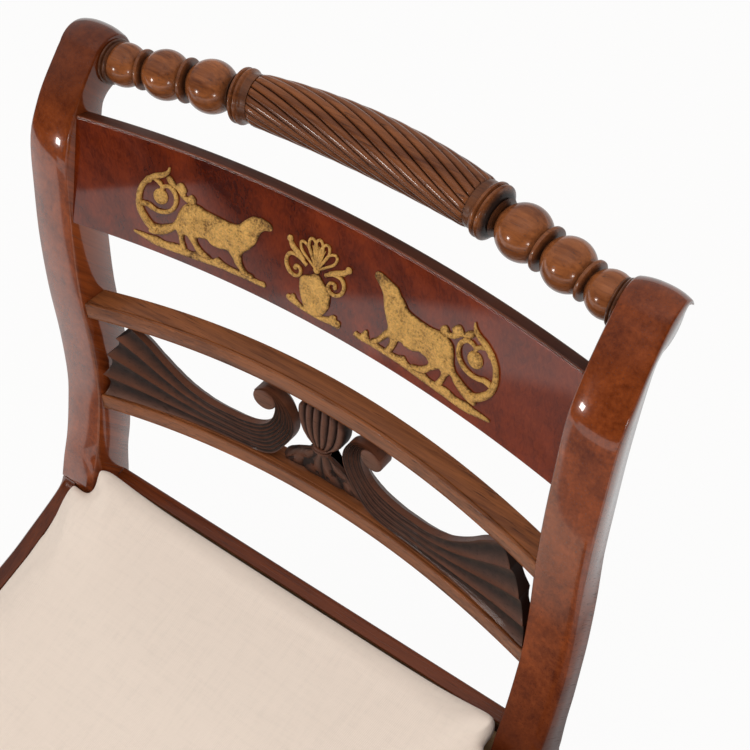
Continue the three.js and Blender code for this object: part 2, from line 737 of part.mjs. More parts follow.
// Brass mounts: flat castings bent to the tablet. Outlines are shares of a mount's length and height.
function bentPlate(shape, toPlace) {
  const geometry = new THREE.ExtrudeGeometry(shape, { depth: 1, bevelEnabled: false, curveSegments: 5 });
  const positions = geometry.attributes.position;
  for (let i = 0; i < positions.count; i += 1) {
    const layer = -gap - positions.getZ(i) * mountThickness;
    const place = toPlace(positions.getX(i), positions.getY(i), layer);
    positions.setXYZ(i, place.x, place.y, place.z);
  }
  return solid(geometry);
}

// The walking beast, nose first: neck, back, rump, tail, legs and chest; x runs from the nose to the tail.
const beastBodyShares = [
  [0, 0.795], [0.052, 0.828], [0.108, 0.822], [0.155, 0.793], [0.204, 0.707], [0.235, 0.65],
  [0.282, 0.628], [0.375, 0.633], [0.482, 0.647], [0.547, 0.672], [0.623, 0.63], [0.659, 0.537],
  [0.678, 0.43], [0.699, 0.358], [0.733, 0.32], [0.794, 0.272], [0.83, 0.258], [0.823, 0.133],
  [0.76, 0.17], [0.707, 0.235], [0.677, 0.29], [0.651, 0.223], [0.625, 0.08], [0.59, 0.09],
  [0.621, 0.255], [0.569, 0.232], [0.537, 0.182], [0.496, 0.1], [0.437, 0.09], [0.408, 0.1],
  [0.463, 0.162], [0.531, 0.263], [0.502, 0.302], [0.445, 0.317], [0.385, 0.277], [0.308, 0.297],
  [0.286, 0.3], [0.245, 0.235], [0.227, 0.19], [0.163, 0.095], [0.092, 0.09], [0.144, 0.145],
  [0.179, 0.215], [0.192, 0.298], [0.144, 0.405], [0.103, 0.505], [0.088, 0.585], [0.074, 0.665],
  [0.043, 0.722], [0.003, 0.747],
];
const groundShares = [
  [0, 0.05], [0.35, 0.03], [0.62, 0], [0.85, 0], [0.97, 0.05], [0.9, 0.1], [0.75, 0.085],
  [0.6, 0.115], [0.35, 0.12], [0.15, 0.12], [0, 0.12],
];
const leafShares = [
  [0.56, 0.62], [0.55, 0.71], [0.594, 0.75], [0.634, 0.703], [0.625, 0.777], [0.665, 0.855],
  [0.708, 0.807], [0.764, 0.873], [0.758, 0.99], [0.795, 0.895], [0.8, 0.8], [0.777, 0.72],
  [0.727, 0.667], [0.68, 0.6], [0.64, 0.58],
];
const curlShares = [
  [0.943, 0.433], [0.887, 0.458], [0.849, 0.408], [0.774, 0.4], [0.717, 0.442], [0.675, 0.517],
  [0.665, 0.617], [0.693, 0.617], [0.712, 0.533], [0.755, 0.483], [0.83, 0.483], [0.877, 0.533],
  [0.934, 0.517],
];
const ringCentreShare = [0.825, 0.517];
const berryCentreShare = [0.807, 0.575];

function beast() {
  const toPlace = (x, y, d) => tabletPlane.at(beastFromMiddle + x, mountBase + y, d);
  const sized = ([x, y]) => new THREE.Vector2(x * beastLength, y * beastHeight);
  const plate = (shares) => bentPlate(new THREE.Shape(shares.map(sized)), toPlace);
  const { x, y } = sized(ringCentreShare);
  const ring = new THREE.Shape().absellipse(x, y, ringWidth / 2, ringHeight / 2, 0, Math.PI * 2);
  ring.holes.push(new THREE.Path().absellipse(
    x, y, ringWidth / 2 - ringBand, ringHeight / 2 - ringBand, 0, Math.PI * 2, true,
  ));
  const berryAt = sized(berryCentreShare);
  const berry = new THREE.Shape().absarc(berryAt.x, berryAt.y, berryRadius, 0, Math.PI * 2);
  return joined([
    plate(beastBodyShares), plate(groundShares), plate(leafShares), plate(curlShares),
    bentPlate(ring, toPlace), bentPlate(berry, toPlace),
    ...mountStudPlaces.map((place) => stud(place, -mountThickness / 2, studLength, studRadius)),
  ]);
}

pair("brass_beast", beast(), finishes.brass);

const petalCount = 7;
const petalSpread = THREE.MathUtils.degToRad(58);
const urnShares = [
  [0, 0.62], [0.16, 0.58], [0.24, 0.48], [0.25, 0.34], [0.21, 0.2], [0.13, 0.09], [0.2, 0.1],
  [0.46, 0.12], [0.5, 0.06], [0.3, 0], [0, 0.03],
];

function palmette() {
  const toPlace = (x, y, d) => tabletPlane.at(x, mountBase + y, d);
  const half = urnShares.map(([x, y]) => new THREE.Vector2(x * palmetteWidth, y * palmetteHeight));
  const other = half.slice(1, -1).reverse().map((point) => new THREE.Vector2(-point.x, point.y));
  const root = new THREE.Vector2(0, palmetteHeight * 0.6);
  const length = palmetteHeight * 0.4;
  const width = length * 0.21;
  const petals = steps(petalCount - 1).map((s) => {
    const angle = mix(-petalSpread, petalSpread, s);
    const side = new THREE.Vector2(Math.cos(angle), -Math.sin(angle));
    const out = new THREE.Vector2(Math.sin(angle), Math.cos(angle));
    const point = (across, along) => root.clone()
      .addScaledVector(side, across * width)
      .addScaledVector(out, along * length);
    const petal = new THREE.Shape([
      point(-0.35, 0), point(0.35, 0), point(1, 0.72), point(0.75, 0.93), point(0, 1),
      point(-0.75, 0.93), point(-1, 0.72),
    ]);
    return bentPlate(petal, toPlace);
  });
  const volutes = [-1, 1].map((side) => {
    const x = side * palmetteWidth * 0.32;
    const y = palmetteHeight * 0.5;
    const radius = palmetteWidth * 0.16;
    const ring = new THREE.Shape().absarc(x, y, radius, 0, Math.PI * 2);
    ring.holes.push(new THREE.Path().absarc(x, y, radius * 0.62, 0, Math.PI * 2, true));
    return bentPlate(ring, toPlace);
  });
  const collar = new THREE.Shape().absarc(0, root.y, width * 1.4, 0, Math.PI * 2);
  return joined([
    bentPlate(new THREE.Shape([...half, ...other]), toPlace), bentPlate(collar, toPlace),
    ...petals, ...volutes,
    stud(palmetteStudPlace, -mountThickness / 2, studLength, studRadius),
  ]);
}

piece("brass_palmette", palmette(), finishes.brass);

// Round tenons of the carved pieces, which stand in holes in the splat rails: shares of the space
// beside the middle, and the height of the rail's edge.
const scrollPegs = [[0.47, 0], [0.79, 0], [0.795, splatHeight]];
const shellPegs = [[0, 0], [0, splatHeight]];
const peg = ([share, t], grow) => rod(
  splatPlane.at(share * stileInner, t - pegLength / 2 - grow, splatSetback + splatThickness / 2),
  splatPlane.at(share * stileInner, t + pegLength / 2 + grow, splatSetback + splatThickness / 2),
  pegRadius + grow,
  8,
);
const pegHoles = [...scrollPegs, ...scrollPegs.map(([share, t]) => [-share, t]), ...shellPegs]
  .map((place) => peg(place, gap));

function splatRail(base, tenon) {
  const reach = stileInner - gap;
  const top = base + splatRailHeight;
  const groove = splatRailGroove;
  const section = [
    [base, 0], [base, splatRailDepth], [top, splatRailDepth], [top, groove * 2],
    [top - groove, groove * 1.5], [top - groove * 1.5, 0],
  ];
  const bar = bowedBar(splatPlane, reach, section, 20);
  return joined([cut(bar, pegHoles), tenon.both]);
}

piece("splat_rail_upper", splatRail(splatHeight, upperTenon(0, 0)), finishes.mahogany);
piece("splat_rail_lower", splatRail(-splatRailHeight, lowerTenon(0, 0)), finishes.mahogany);

// Carved scroll: pairs of points across the band, from the fan by the stile to the end of the volute.
// Each pair is upper x and t, then lower x and t, as shares of the space beside the middle and of the height.
const scrollShares = [
  [0.79, 0.996, 0.987, 0.004], [0.755, 0.77, 0.895, 0.004], [0.7, 0.6, 0.79, 0.004],
  [0.642, 0.475, 0.695, 0.004], [0.59, 0.39, 0.615, 0.004], [0.515, 0.33, 0.53, 0.004],
  [0.44, 0.3, 0.42, 0.004], [0.37, 0.31, 0.305, 0.004], [0.3, 0.37, 0.21, 0.08],
  [0.253, 0.46, 0.142, 0.287], [0.228, 0.55, 0.11, 0.515], [0.223, 0.63, 0.113, 0.69],
  [0.232, 0.7, 0.142, 0.86], [0.237, 0.76, 0.2, 0.954], [0.255, 0.8, 0.253, 0.96],
  [0.275, 0.8, 0.292, 0.914], [0.288, 0.77, 0.308, 0.828], [0.29, 0.736, 0.304, 0.741],
];
// How far the cusps of the fan stand out of the line across its end, as shares of the same, in equal steps.
const fanBulgeShares = [[0, 0], [0.059, 0.105], [0.063, 0.084], [0.043, 0.062], [0, 0]];
const rollPlace = [0.263, 0.736];
const rollSteps = 20;

function carvedScroll() {
  const upper = new THREE.SplineCurve(scrollShares.map(([x, t]) => new THREE.Vector2(x, t)));
  const lower = new THREE.SplineCurve(scrollShares.map(([, , x, t]) => new THREE.Vector2(x, t)));
  const bulge = new THREE.SplineCurve(fanBulgeShares.map(([x, t]) => new THREE.Vector2(x, t)));
  const place = (s, across, d) => {
    const spot = upper.getPoint(s).lerp(lower.getPoint(s), across)
      .addScaledVector(bulge.getPoint(across), Math.max(0, 1 - s / fanBulgeRun) ** 2);
    return splatPlane.at(
      Math.min(spot.x, 1) * (stileInner - gap * 2),
      Math.min(Math.max(spot.y * splatHeight, gap), splatHeight - gap),
      splatSetback + d,
    );
  };
  const ring = (s) => {
    const depth = mix(fanFluteDepth, neckFluteDepth, Math.min(1, s * 2.2));
    const front = steps(fluteCount * 2).map((across) => {
      const channel = Math.abs(Math.sin(across * fluteCount * Math.PI));
      const notch = fanNotch * channel;
      return place(mix(notch, 1, s), across, depth * channel);
    });
    return [...front, place(s, 1, splatThickness), place(s, 0, splatThickness)];
  };
  const round = (d) => Array.from({ length: rollSteps }, (_, i) => {
    const angle = i / rollSteps * 2 * Math.PI;
    return splatPlane.at(
      rollPlace[0] * stileInner + rollRadius * Math.cos(angle),
      rollPlace[1] * splatHeight + rollRadius * Math.sin(angle),
      splatSetback + d,
    );
  });
  const roll = loft([round(-rollProud), round(splatThickness - rollProud)]);
  return joined([loft(steps(34).map(ring)), roll, ...scrollPegs.map((spot) => peg(spot, 0))]);
}

pair("carved_scroll", carvedScroll(), finishes.carved);

// Carved middle: a ribbed shell that opens upwards from a bound foot, over spreading leaves.
const leafBaseShares = [
  [0, 0.41], [0.05, 0.4], [0.085, 0.33], [0.118, 0.25], [0.128, 0.2], [0.165, 0.1], [0.2, 0.004],
];
const shellRoot = 0.37;
// Half widths of the shell from its root to its top, as shares of its height.
const shellWidthShares = [0.076, 0.19, 0.29, 0.36, 0.39, 0.42, 0.425, 0.4];

function carvedShell() {
  const root = shellRoot * splatHeight;
  const reach = splatHeight - gap - root;
  const widths = new THREE.SplineCurve(shellWidthShares.map((w, i) => new THREE.Vector2(i, w * reach)));
  const place = (s, across, d) => {
    const u = across * 2 - 1;
    return splatPlane.at(u * widths.getPoint(s).y, root + s * (reach - shellTopDrop * u * u * s), splatSetback + d);
  };
  const ring = (s, closed) => {
    const ribs = steps(shellRibs * 2);
    const front = ribs.map((across) => {
      const rib = Math.abs(Math.sin(across * shellRibs * Math.PI));
      return place(s, across, mix(mix(shellRibDepth, shellRibDepth / 4, rib), splatThickness / 2, closed));
    });
    const back = ribs.reverse().map((across) => place(s, across, mix(splatThickness - gap, splatThickness / 2, closed)));
    return [...front, ...back];
  };
  const half = leafBaseShares.map(([x, t]) => new THREE.Vector2(x * stileInner, Math.max(t * splatHeight, gap)));
  const outline = [...half, ...half.slice(1).reverse().map((point) => new THREE.Vector2(-point.x, point.y))];
  const layer = (d) => outline.map((point) => splatPlane.at(point.x, point.y, splatSetback + d));
  const leaves = loft([layer(shellRibDepth / 2), layer(splatThickness)]);
  const shell = loft([...steps(8).map((s) => ring(s, 0)), ring(1, 0.98)]); // closed along its curved top
  return joined([shell, leaves, ...shellPegs.map((place) => peg(place, 0))]);
}

piece("carved_shell", carvedShell(), finishes.carved);

// Drop-in seat. Its plan follows the rebate, with notches round the stiles.
const seatBack = rearPlane - backRailLip - seatClearance;
const seatFront = frontPlane + frontRailLip + seatClearance;
const seatNotch = jointFront - seatClearance;
const seatNeck = stileInner - seatClearance;
const seatSideAt = (y) => sideRailOuter(y) - sideRailLip - seatClearance;

function seatOutline(inset) {
  const right = [
    new THREE.Vector2(seatNeck - inset, seatBack - inset),
    new THREE.Vector2(seatNeck - inset, seatNotch - inset),
    new THREE.Vector2(seatSideAt(seatNotch) - inset, seatNotch - inset),
    new THREE.Vector2(seatSideAt(seatFront) - inset, seatFront + inset),
  ];
  const left = right.map((point) => new THREE.Vector2(-point.x, point.y)).reverse();
  return [...right, ...left];
}

const frameBottom = shelf + gap;
const frameTop = frameBottom + seatFrameHeight;
const frameInset = sheetThickness;
const wholeFrame = slab(seatOutline(frameInset), frameBottom, frameTop).subtract(box(
  -seatNeck + seatFrameWidth, seatNeck - seatFrameWidth,
  seatFront + seatFrameWidth, seatBack - seatFrameWidth,
  frameBottom - overrun, frameTop + overrun,
));
const frameJointBack = seatBack - seatFrameWidth;
const frameJointFront = seatFront + seatFrameWidth;
const tongue = (y, grow) => box(
  seatNeck - seatFrameWidth + tenonShoulder * 3 - grow, seatNeck - tenonShoulder * 3 + grow,
  Math.min(y, y + Math.sign(y - (frameJointBack + frameJointFront) / 2) * tenonLength) - grow * 2,
  Math.max(y, y + Math.sign(y - (frameJointBack + frameJointFront) / 2) * tenonLength) + grow * 2,
  frameBottom + seatFrameHeight / 3 - grow, frameTop - seatFrameHeight / 3 + grow,
);
const bothSides = (body) => body.add(solid(mirrored(geometryOf(body))));
const across = frontWidth;
const frameBack = wholeFrame.intersect(box(-across, across, frameJointBack, seatBack, 0, frontWidth * 2))
  .subtract(bothSides(tongue(frameJointBack, gap)));
const frameFront = wholeFrame.intersect(box(-across, across, seatFront, frameJointFront, 0, frontWidth * 2))
  .subtract(bothSides(tongue(frameJointFront, gap)));
const frameSide = wholeFrame.intersect(box(0, across, frameJointFront + gap, frameJointBack - gap, 0, frontWidth * 2))
  .add(joined([tongue(frameJointBack - gap * 2, 0), tongue(frameJointFront + gap * 2, 0)]));

piece("seat_frame_back", frameBack, finishes.beech);
piece("seat_frame_front", frameFront, finishes.beech);
pair("seat_frame_side", frameSide, finishes.beech);

// Webbing: straps both ways, woven, and tacked to the top of the frame
const webbingBottom = frameTop + gap;
const webbingTop = webbingBottom + webbingThickness;
const webbingBack = seatBack - seatFrameWidth / 2;
const webbingFront = seatFront + seatFrameWidth / 2;
const webbingSide = seatNeck - seatFrameWidth / 2;
const strapPlace = (from, to, i) => mix(from, to, (i + 1) / (webbingStraps + 1));
const straps = Array.from({ length: webbingStraps }, (_, i) => {
  const x = strapPlace(-webbingSide, webbingSide, i);
  const y = strapPlace(webbingFront, webbingBack, i);
  return box(x - webbingWidth / 2, x + webbingWidth / 2, webbingFront, webbingBack, webbingBottom, webbingTop)
    .add(box(-webbingSide, webbingSide, y - webbingWidth / 2, y + webbingWidth / 2, webbingBottom, webbingTop));
});
piece("seat_webbing", joined(straps), finishes.webbing);

const hessianBottom = webbingTop + gap;
const hessianTop = hessianBottom + sheetThickness;
piece("seat_hessian", slab(seatOutline(seatFrameWidth / 4), hessianBottom, hessianTop), finishes.hessian);
const liningTop = frameBottom - gap;
piece("seat_lining", slab([
  new THREE.Vector2(-seatNeck + seatFrameWidth * 0.7, seatFront + seatFrameWidth * 0.7),
  new THREE.Vector2(seatNeck - seatFrameWidth * 0.7, seatFront + seatFrameWidth * 0.7),
  new THREE.Vector2(seatNeck - seatFrameWidth * 0.7, seatBack - seatFrameWidth * 0.7),
  new THREE.Vector2(-seatNeck + seatFrameWidth * 0.7, seatBack - seatFrameWidth * 0.7),
], liningTop - sheetThickness, liningTop), finishes.lining);

// Cushion: a crowned pad. Its plan outline is followed by rings that draw in at the side and close to the middle.
function outlineAlong(corners, perEdge) {
  return corners.flatMap((corner, i) => {
    const next = corners[(i + 1) % corners.length];
    const count = Math.max(1, Math.round(corner.distanceTo(next) / perEdge));
    return Array.from({ length: count }, (_, k) => corner.clone().lerp(next, k / count));
  });
}

function cushion() {
  const plan = outlineAlong(seatOutline(0), cushionStep);
  const middle = new THREE.Vector2(0, (seatBack + seatFront) / 2);
  const bottom = hessianTop + gap;
  const edgeTop = (y) => frontRailTop + cushionStand
    + cushionBackRise * ((y - seatFront) / (seatBack - seatFront)) ** cushionRisePower;
  const ring = (tuck, level, share) => plan.map((point) => {
    const towards = new THREE.Vector2().subVectors(middle, point);
    const inset = point.clone().addScaledVector(towards, tuck / towards.length());
    const { x, y } = inset.lerp(middle, share);
    const aside = Math.min(1, Math.abs(x) / (seatSideAt(y) - cushionTuck));
    const along = Math.min(1, Math.abs(y - middle.y) / (middle.y - seatFront - cushionTuck));
    const crown = share * cushionCrown + (1 - share) * cushionCrown
      * ((1 - aside ** 3) * (1 - along ** 3)) ** 0.7;
    const z = mix(bottom, edgeTop(y), level) + (share > 0 ? crown : 0);
    return new THREE.Vector3(x, y, z);
  });
  const sides = [[cushionTuck, 0], [cushionTuck * 0.4, 0.15], [0, 0.45], [cushionTuck * 0.3, 0.8]];
  const crownShares = [0, 0.03, 0.08, 0.16, 0.27, 0.42, 0.6, 0.8, 0.97];
  return loft([
    ...sides.map(([tuck, level]) => ring(tuck, level, 0)),
    ...crownShares.map((share) => ring(cushionTuck, 1, share)),
  ]);
}

piece("seat_cushion", cushion(), finishes.linen);

export default chair;
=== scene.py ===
"""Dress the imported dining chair: mahogany frame, turned top rail, tablet, carved splat and padded seat."""

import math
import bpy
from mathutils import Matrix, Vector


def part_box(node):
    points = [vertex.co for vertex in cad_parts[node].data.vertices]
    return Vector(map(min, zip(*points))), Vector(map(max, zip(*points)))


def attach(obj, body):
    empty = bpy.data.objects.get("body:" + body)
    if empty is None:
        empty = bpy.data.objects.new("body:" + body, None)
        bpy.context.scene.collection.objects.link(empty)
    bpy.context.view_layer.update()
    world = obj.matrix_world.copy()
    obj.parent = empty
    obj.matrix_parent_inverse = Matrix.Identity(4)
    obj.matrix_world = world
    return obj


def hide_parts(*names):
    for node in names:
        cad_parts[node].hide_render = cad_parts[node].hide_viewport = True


bl_info = {
    "name": "Scroll-Back Dining Chair",
    "version": (1, 0, 0),
    "blender": (4, 5, 0),
    "location": "3D View > Sidebar > Chair",
    "description": "Models the visible pieces of a mahogany dining chair over its packed solids",
    "category": "Add Mesh",
}

import bmesh
import bpy
import numpy as np
from bpy.props import FloatProperty, FloatVectorProperty, IntProperty, PointerProperty
from bpy.types import Operator, Panel, PropertyGroup
from mathutils import Matrix, Vector, noise
from mathutils.geometry import delaunay_2d_cdt

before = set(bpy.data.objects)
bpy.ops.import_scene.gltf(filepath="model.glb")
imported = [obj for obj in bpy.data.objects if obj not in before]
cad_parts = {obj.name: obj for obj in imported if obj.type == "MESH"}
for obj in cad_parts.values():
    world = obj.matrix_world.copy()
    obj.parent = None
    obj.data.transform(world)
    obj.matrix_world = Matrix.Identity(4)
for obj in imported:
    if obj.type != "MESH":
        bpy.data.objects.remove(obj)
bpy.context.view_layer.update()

MM = 0.001
FRAME_BODY = "chair_frame"
SEAT_BODY = "drop_in_seat"

# Places that pieces share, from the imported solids. The chair faces -Y.
STILE_LOW, STILE_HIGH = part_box("stile_right")
_, LEG_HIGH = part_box("front_leg_right")
_, BACK_RAIL_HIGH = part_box("back_seat_rail")
FRONT_RAIL_LOW, FRONT_RAIL_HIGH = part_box("front_seat_rail")
OUTER = STILE_HIGH.x
INNER = STILE_LOW.x
REAR = BACK_RAIL_HIGH.y
BACK_TOP = BACK_RAIL_HIGH.z
FRONT = FRONT_RAIL_LOW.y
FRONT_TOP = FRONT_RAIL_HIGH.z
LEG_OUTER = LEG_HIGH.x
RAIL_FRONT = FRONT + 36 * MM
BACK_LIP = 12 * MM
FRONT_LIP = 12 * MM
CLEARANCE = 0.3 * MM
REACH = INNER - CLEARANCE


def measure(name, description, size):
    """A length that the panel shows, from its size in millimetres."""
    return FloatProperty(name=name, description=description, default=size * MM, unit="LENGTH")


def tint(name, description, default):
    """A colour that the panel shows."""
    return FloatVectorProperty(name=name, description=description, default=default, subtype="COLOR", size=3)


class ChairSizes(PropertyGroup):
    """Sizes of the wooden frame."""

    stile_depth: measure("Stile depth", "Front to back at the seat", 35.4)
    stile_rise: measure("Stile rise", "From the side rail's joint up to the rolled head", 325.2)
    stile_sweep: measure("Stile sweep", "From the joint back to the rolled head", 179)
    stile_crown: measure("Stile crown", "How far the front face stands proud of its edges", 2.2)
    stile_taper: measure("Stile taper", "How much narrower its back is", 4.5)
    joint_rise: measure("Joint rise", "From the back rail's top up to the side rail's joint", 12)
    head_radius: measure("Head radius", "Of the rolled heads of the stiles", 17.5)
    head_crown: measure("Head crown", "How far the rolled head stands proud of its ends", 2.9)
    arris: measure("Arris", "Rounding of the wooden edges", 1.2)
    leg_sweep: measure("Back leg sweep", "How far the back feet stand behind the back rail", 100)
    toe_kick: measure("Toe kick", "How far the front feet stand in front of the front rail", 34)
    lip: measure("Rebate lip", "Width of the side rails' top", 15)
    rebate: measure("Rebate", "From the back rail's top down to the shelf for the seat", 35)
    rail_drop: measure("Rail drop", "From the back rail's top down to the side rails' lower edge", 66)


class TurningSizes(PropertyGroup):
    """Sizes of the turned and reeded top rail."""

    sag: measure("Bow", "How far the rail's axis bows backwards", 25.3)
    reed_length: measure("Reeded length", "Of the spiral-reeded centre", 168)
    reed_count: IntProperty(name="Reeds", description="Reeds around the centre", default=18, min=6, max=40)
    reed_turns: FloatProperty(name="Twist", description="Turns of a reed over its length", default=0.5)
    reed_depth: measure("Reed depth", "Of the grooves between the reeds", 2.1)
    end_radius: measure("End radius", "Of the reeded centre at its ends", 16.5)
    middle_radius: measure("Middle radius", "Of the reeded centre at its middle", 19.1)
    collar_length: measure("Collar", "Length of the turned collar at either end", 15)
    neck_radius: measure("Neck", "Radius between the balls", 8.5)


class SplatSizes(PropertyGroup):
    """Sizes of the tablet, its mounts and the carved splat."""

    tablet_height: measure("Tablet height", "Along its lean", 78.4)
    tablet_sag: measure("Tablet bow", "How far the tablet bows backwards", 17.5)
    tablet_thickness: measure("Tablet thickness", "With its veneer", 11.5)
    splat_height: measure("Splat height", "Between its two rails", 87)
    splat_sag: measure("Splat bow", "How far the splat bows backwards", 26)
    splat_thickness: measure("Splat thickness", "Of the carved pieces", 13.5)
    splat_edge: measure("Splat edge", "Thickness of a scroll along its hollow upper edge", 5.8)
    rail_height: measure("Splat rail height", "Of the two slim rails", 13.6)
    rail_overlap: measure("Rail overlap", "How far the upper rail reaches down over the carving", 4.7)
    rail_depth: measure("Splat rail depth", "Front to back", 20)
    flute_count: IntProperty(name="Flutes", description="Across a scroll", default=4, min=2, max=9)
    flute_depth: measure("Flute depth", "At the wide end of a scroll", 4.6)
    shell_ribs: IntProperty(name="Shell ribs", description="Across the shell", default=6, min=3, max=12)
    mount_rise: measure("Mount relief", "How far the brass stands off the veneer", 2.4)


class SeatSizes(PropertyGroup):
    """Sizes of the padded seat and its cover."""

    voxel: measure("Remesh size", "Of the cushion before it is filled", 5)
    pressure: FloatProperty(name="Filling", description="Pressure inside the cushion", default=4.0)
    cap: measure("Most swelling", "How far the cushion may swell anywhere", 6)
    shrink: measure("Slack", "How much smaller the cushion starts", 2.5)
    thread: measure("Thread", "Distance between the threads of the cover", 0.9)


class Finishes(PropertyGroup):
    """Colours of the finishes."""

    mahogany_dark: tint("Mahogany, dark", "Between the lighter streaks", (0.1, 0.017, 0.004))
    mahogany_light: tint("Mahogany, light", "Lighter streaks", (0.34, 0.073, 0.016))
    turned_dark: tint("Turned wood, dark", "Between the lighter streaks", (0.07, 0.018, 0.006))
    turned_light: tint("Turned wood, light", "Lighter streaks", (0.31, 0.1, 0.03))
    flame_dark: tint("Veneer, dark", "Shadows of the figure", (0.045, 0.0045, 0.0015))
    flame_light: tint("Veneer, light", "Flames of the figure", (0.2, 0.026, 0.0035))
    # Old wax and painted shade: the carving's grooves and its shaded end are darkened to this colour
    carved_dark: tint("Carving, dark", "Wax and dust in the grooves", (0.016, 0.0065, 0.004))
    carved_light: tint("Carving, light", "On the ridges", (0.15, 0.047, 0.02))
    brass_bright: tint("Brass, bright", "Worn gilding on the high places", (1.0, 0.57, 0.158))
    brass_dull: tint("Brass, dull", "Darker gilding in the low places", (0.27, 0.125, 0.03))
    linen: tint("Linen", "Cover of the seat", (0.87, 0.745, 0.645))
    beech: tint("Beech", "Seat frame and corner blocks", (0.45, 0.27, 0.13))
    jute: tint("Jute", "Webbing and hessian", (0.36, 0.26, 0.15))
    lining: tint("Bottom cloth", "Cloth under the seat", (0.02, 0.018, 0.017))
    floor: tint("Floor", "Plain pale floor", (0.93, 0.925, 0.92))


def sizes():
    return bpy.context.scene.chair_sizes


def turning():
    return bpy.context.scene.turning_sizes


def splat():
    return bpy.context.scene.splat_sizes


def finishes():
    return bpy.context.scene.chair_finishes


# Small helpers

SOLID_ARRIS = 0.6 * MM
MERGE = 0.00001
SPIN_MERGE = 0.00003
CUSHION_MERGE = 0.00002


def mix(a, b, share):
    return a + (b - a) * share


def shares(count):
    return [i / count for i in range(count + 1)]


def smooth_step(low, high, value):
    t = min(1.0, max(0.0, (value - low) / (high - low)))
    return t * t * (3 - 2 * t)


def curve_point(a, b, c, d, w):
    """A point on the smooth curve from b to c, with a before them and d behind."""
    v0, v1 = (c - a) * 0.5, (d - b) * 0.5
    return (2 * b - 2 * c + v0 + v1) * w ** 3 + (-3 * b + 3 * c - 2 * v0 - v1) * w ** 2 + v0 * w + b


def along_curve(points, share):
    """A point on the smooth curve through the points, at a share of its run."""
    place = (len(points) - 1) * min(1.0, max(0.0, share))
    i = min(int(place), len(points) - 2)
    a, d = points[max(i - 1, 0)], points[min(i + 2, len(points) - 1)]
    return curve_point(a, points[i], points[i + 1], d, place - i)


def closed_curve(points, each):
    """The smooth closed curve through the points."""
    made = []
    for i in range(len(points)):
        a, b, c, d = (Vector(points[(i + k) % len(points)]) for k in (-1, 0, 1, 2))
        made += [curve_point(a, b, c, d, k / each) for k in range(each)]
    return made


def table_row(table, value):
    """The row of a table that a value lies behind, and the share of the way to the next row."""
    rows = range(len(table) - 1)
    row = next((n for n in rows if table[n][0] <= value <= table[n + 1][0]), len(table) - 2)
    return row, (value - table[row][0]) / (table[row + 1][0] - table[row][0])


def in_mm(outline):
    return [(along * MM, radius * MM) for along, radius in outline]


def around(count):
    """Angles once round a circle."""
    return [k / count * math.tau for k in range(count)]


def toned(colour, share):
    """A colour, lighter or darker."""
    return tuple(min(1, c * share) for c in colour)


def blended(first, second, share):
    return tuple(mix(a, b, share) for a, b in zip(first, second))


def clear_selection():
    if bpy.context.active_object and bpy.context.active_object.mode != "OBJECT":
        bpy.ops.object.mode_set(mode="OBJECT")
    bpy.ops.object.select_all(action="DESELECT")


def pick(piece):
    clear_selection()
    piece.select_set(True)
    bpy.context.view_layer.objects.active = piece


def tidied(piece, merge=MERGE):
    """Merge doubles and turn the faces outwards."""
    pick(piece)
    bpy.ops.object.mode_set(mode="EDIT")
    bpy.ops.mesh.select_all(action="SELECT")
    bpy.ops.mesh.remove_doubles(threshold=merge)
    bpy.ops.mesh.normals_make_consistent(inside=False)
    bpy.ops.object.mode_set(mode="OBJECT")
    return piece


def smoothed(piece, degrees=35):
    pick(piece)
    bpy.ops.object.shade_smooth_by_angle(angle=math.radians(degrees))
    return piece


def modify(piece, kind, **settings):
    """Add a modifier to a piece, set it and apply it."""
    pick(piece)
    made = piece.modifiers.new(kind.title(), kind)
    for key, value in settings.items():
        setattr(made, key, value)
    bpy.ops.object.modifier_apply(modifier=made.name)


def cut_box(piece, place, size):
    """Cut a box out of a piece."""
    clear_selection()
    bpy.ops.mesh.primitive_cube_add(size=1, location=place)
    cutter = bpy.context.active_object
    cutter.dimensions = size
    modify(piece, "BOOLEAN", operation="DIFFERENCE", solver="EXACT", object=cutter)
    bpy.data.objects.remove(cutter, do_unlink=True)


def grown(name, rings):
    """A solid grown from its first outline by extruding it from ring to ring."""
    clear_selection()
    bpy.ops.mesh.primitive_circle_add(vertices=len(rings[0]), radius=0.01, fill_type="NGON")
    piece = bpy.context.active_object
    piece.name = name
    piece.data.name = name
    bpy.ops.object.mode_set(mode="EDIT")
    shell = bmesh.from_edit_mesh(piece.data)
    order = shell.verts.layers.int.new("order")
    for i, vert in enumerate(shell.verts):
        vert[order] = i
    for number, ring in enumerate(rings):
        if number:
            bpy.ops.mesh.extrude_region_move()
        shell = bmesh.from_edit_mesh(piece.data)
        order = shell.verts.layers.int["order"]
        for vert in shell.verts:
            if vert.select:
                vert.co = ring[vert[order]]
    bmesh.update_edit_mesh(piece.data)
    bpy.ops.object.mode_set(mode="OBJECT")
    piece.matrix_world = Matrix.Identity(4)
    tidied(piece)
    return piece


def turned(name, outline, centre, axis, steps=40):
    """A turned piece: an outline of (distance along, radius) spun round an axis."""
    axis = Vector(axis).normalized()
    side = axis.orthogonal().normalized()
    centre = Vector(centre)
    mesh = bpy.data.meshes.new(name)
    points = [centre + axis * along + side * radius for along, radius in outline]
    mesh.from_pydata(points, [(i, i + 1) for i in range(len(points) - 1)], [])
    piece = bpy.data.objects.new(name, mesh)
    bpy.context.collection.objects.link(piece)
    pick(piece)
    bpy.ops.object.mode_set(mode="EDIT")
    bpy.ops.mesh.select_all(action="SELECT")
    bpy.ops.mesh.spin(steps=steps, angle=math.tau, center=centre, axis=axis)
    bpy.ops.object.mode_set(mode="OBJECT")
    return tidied(piece, SPIN_MERGE)


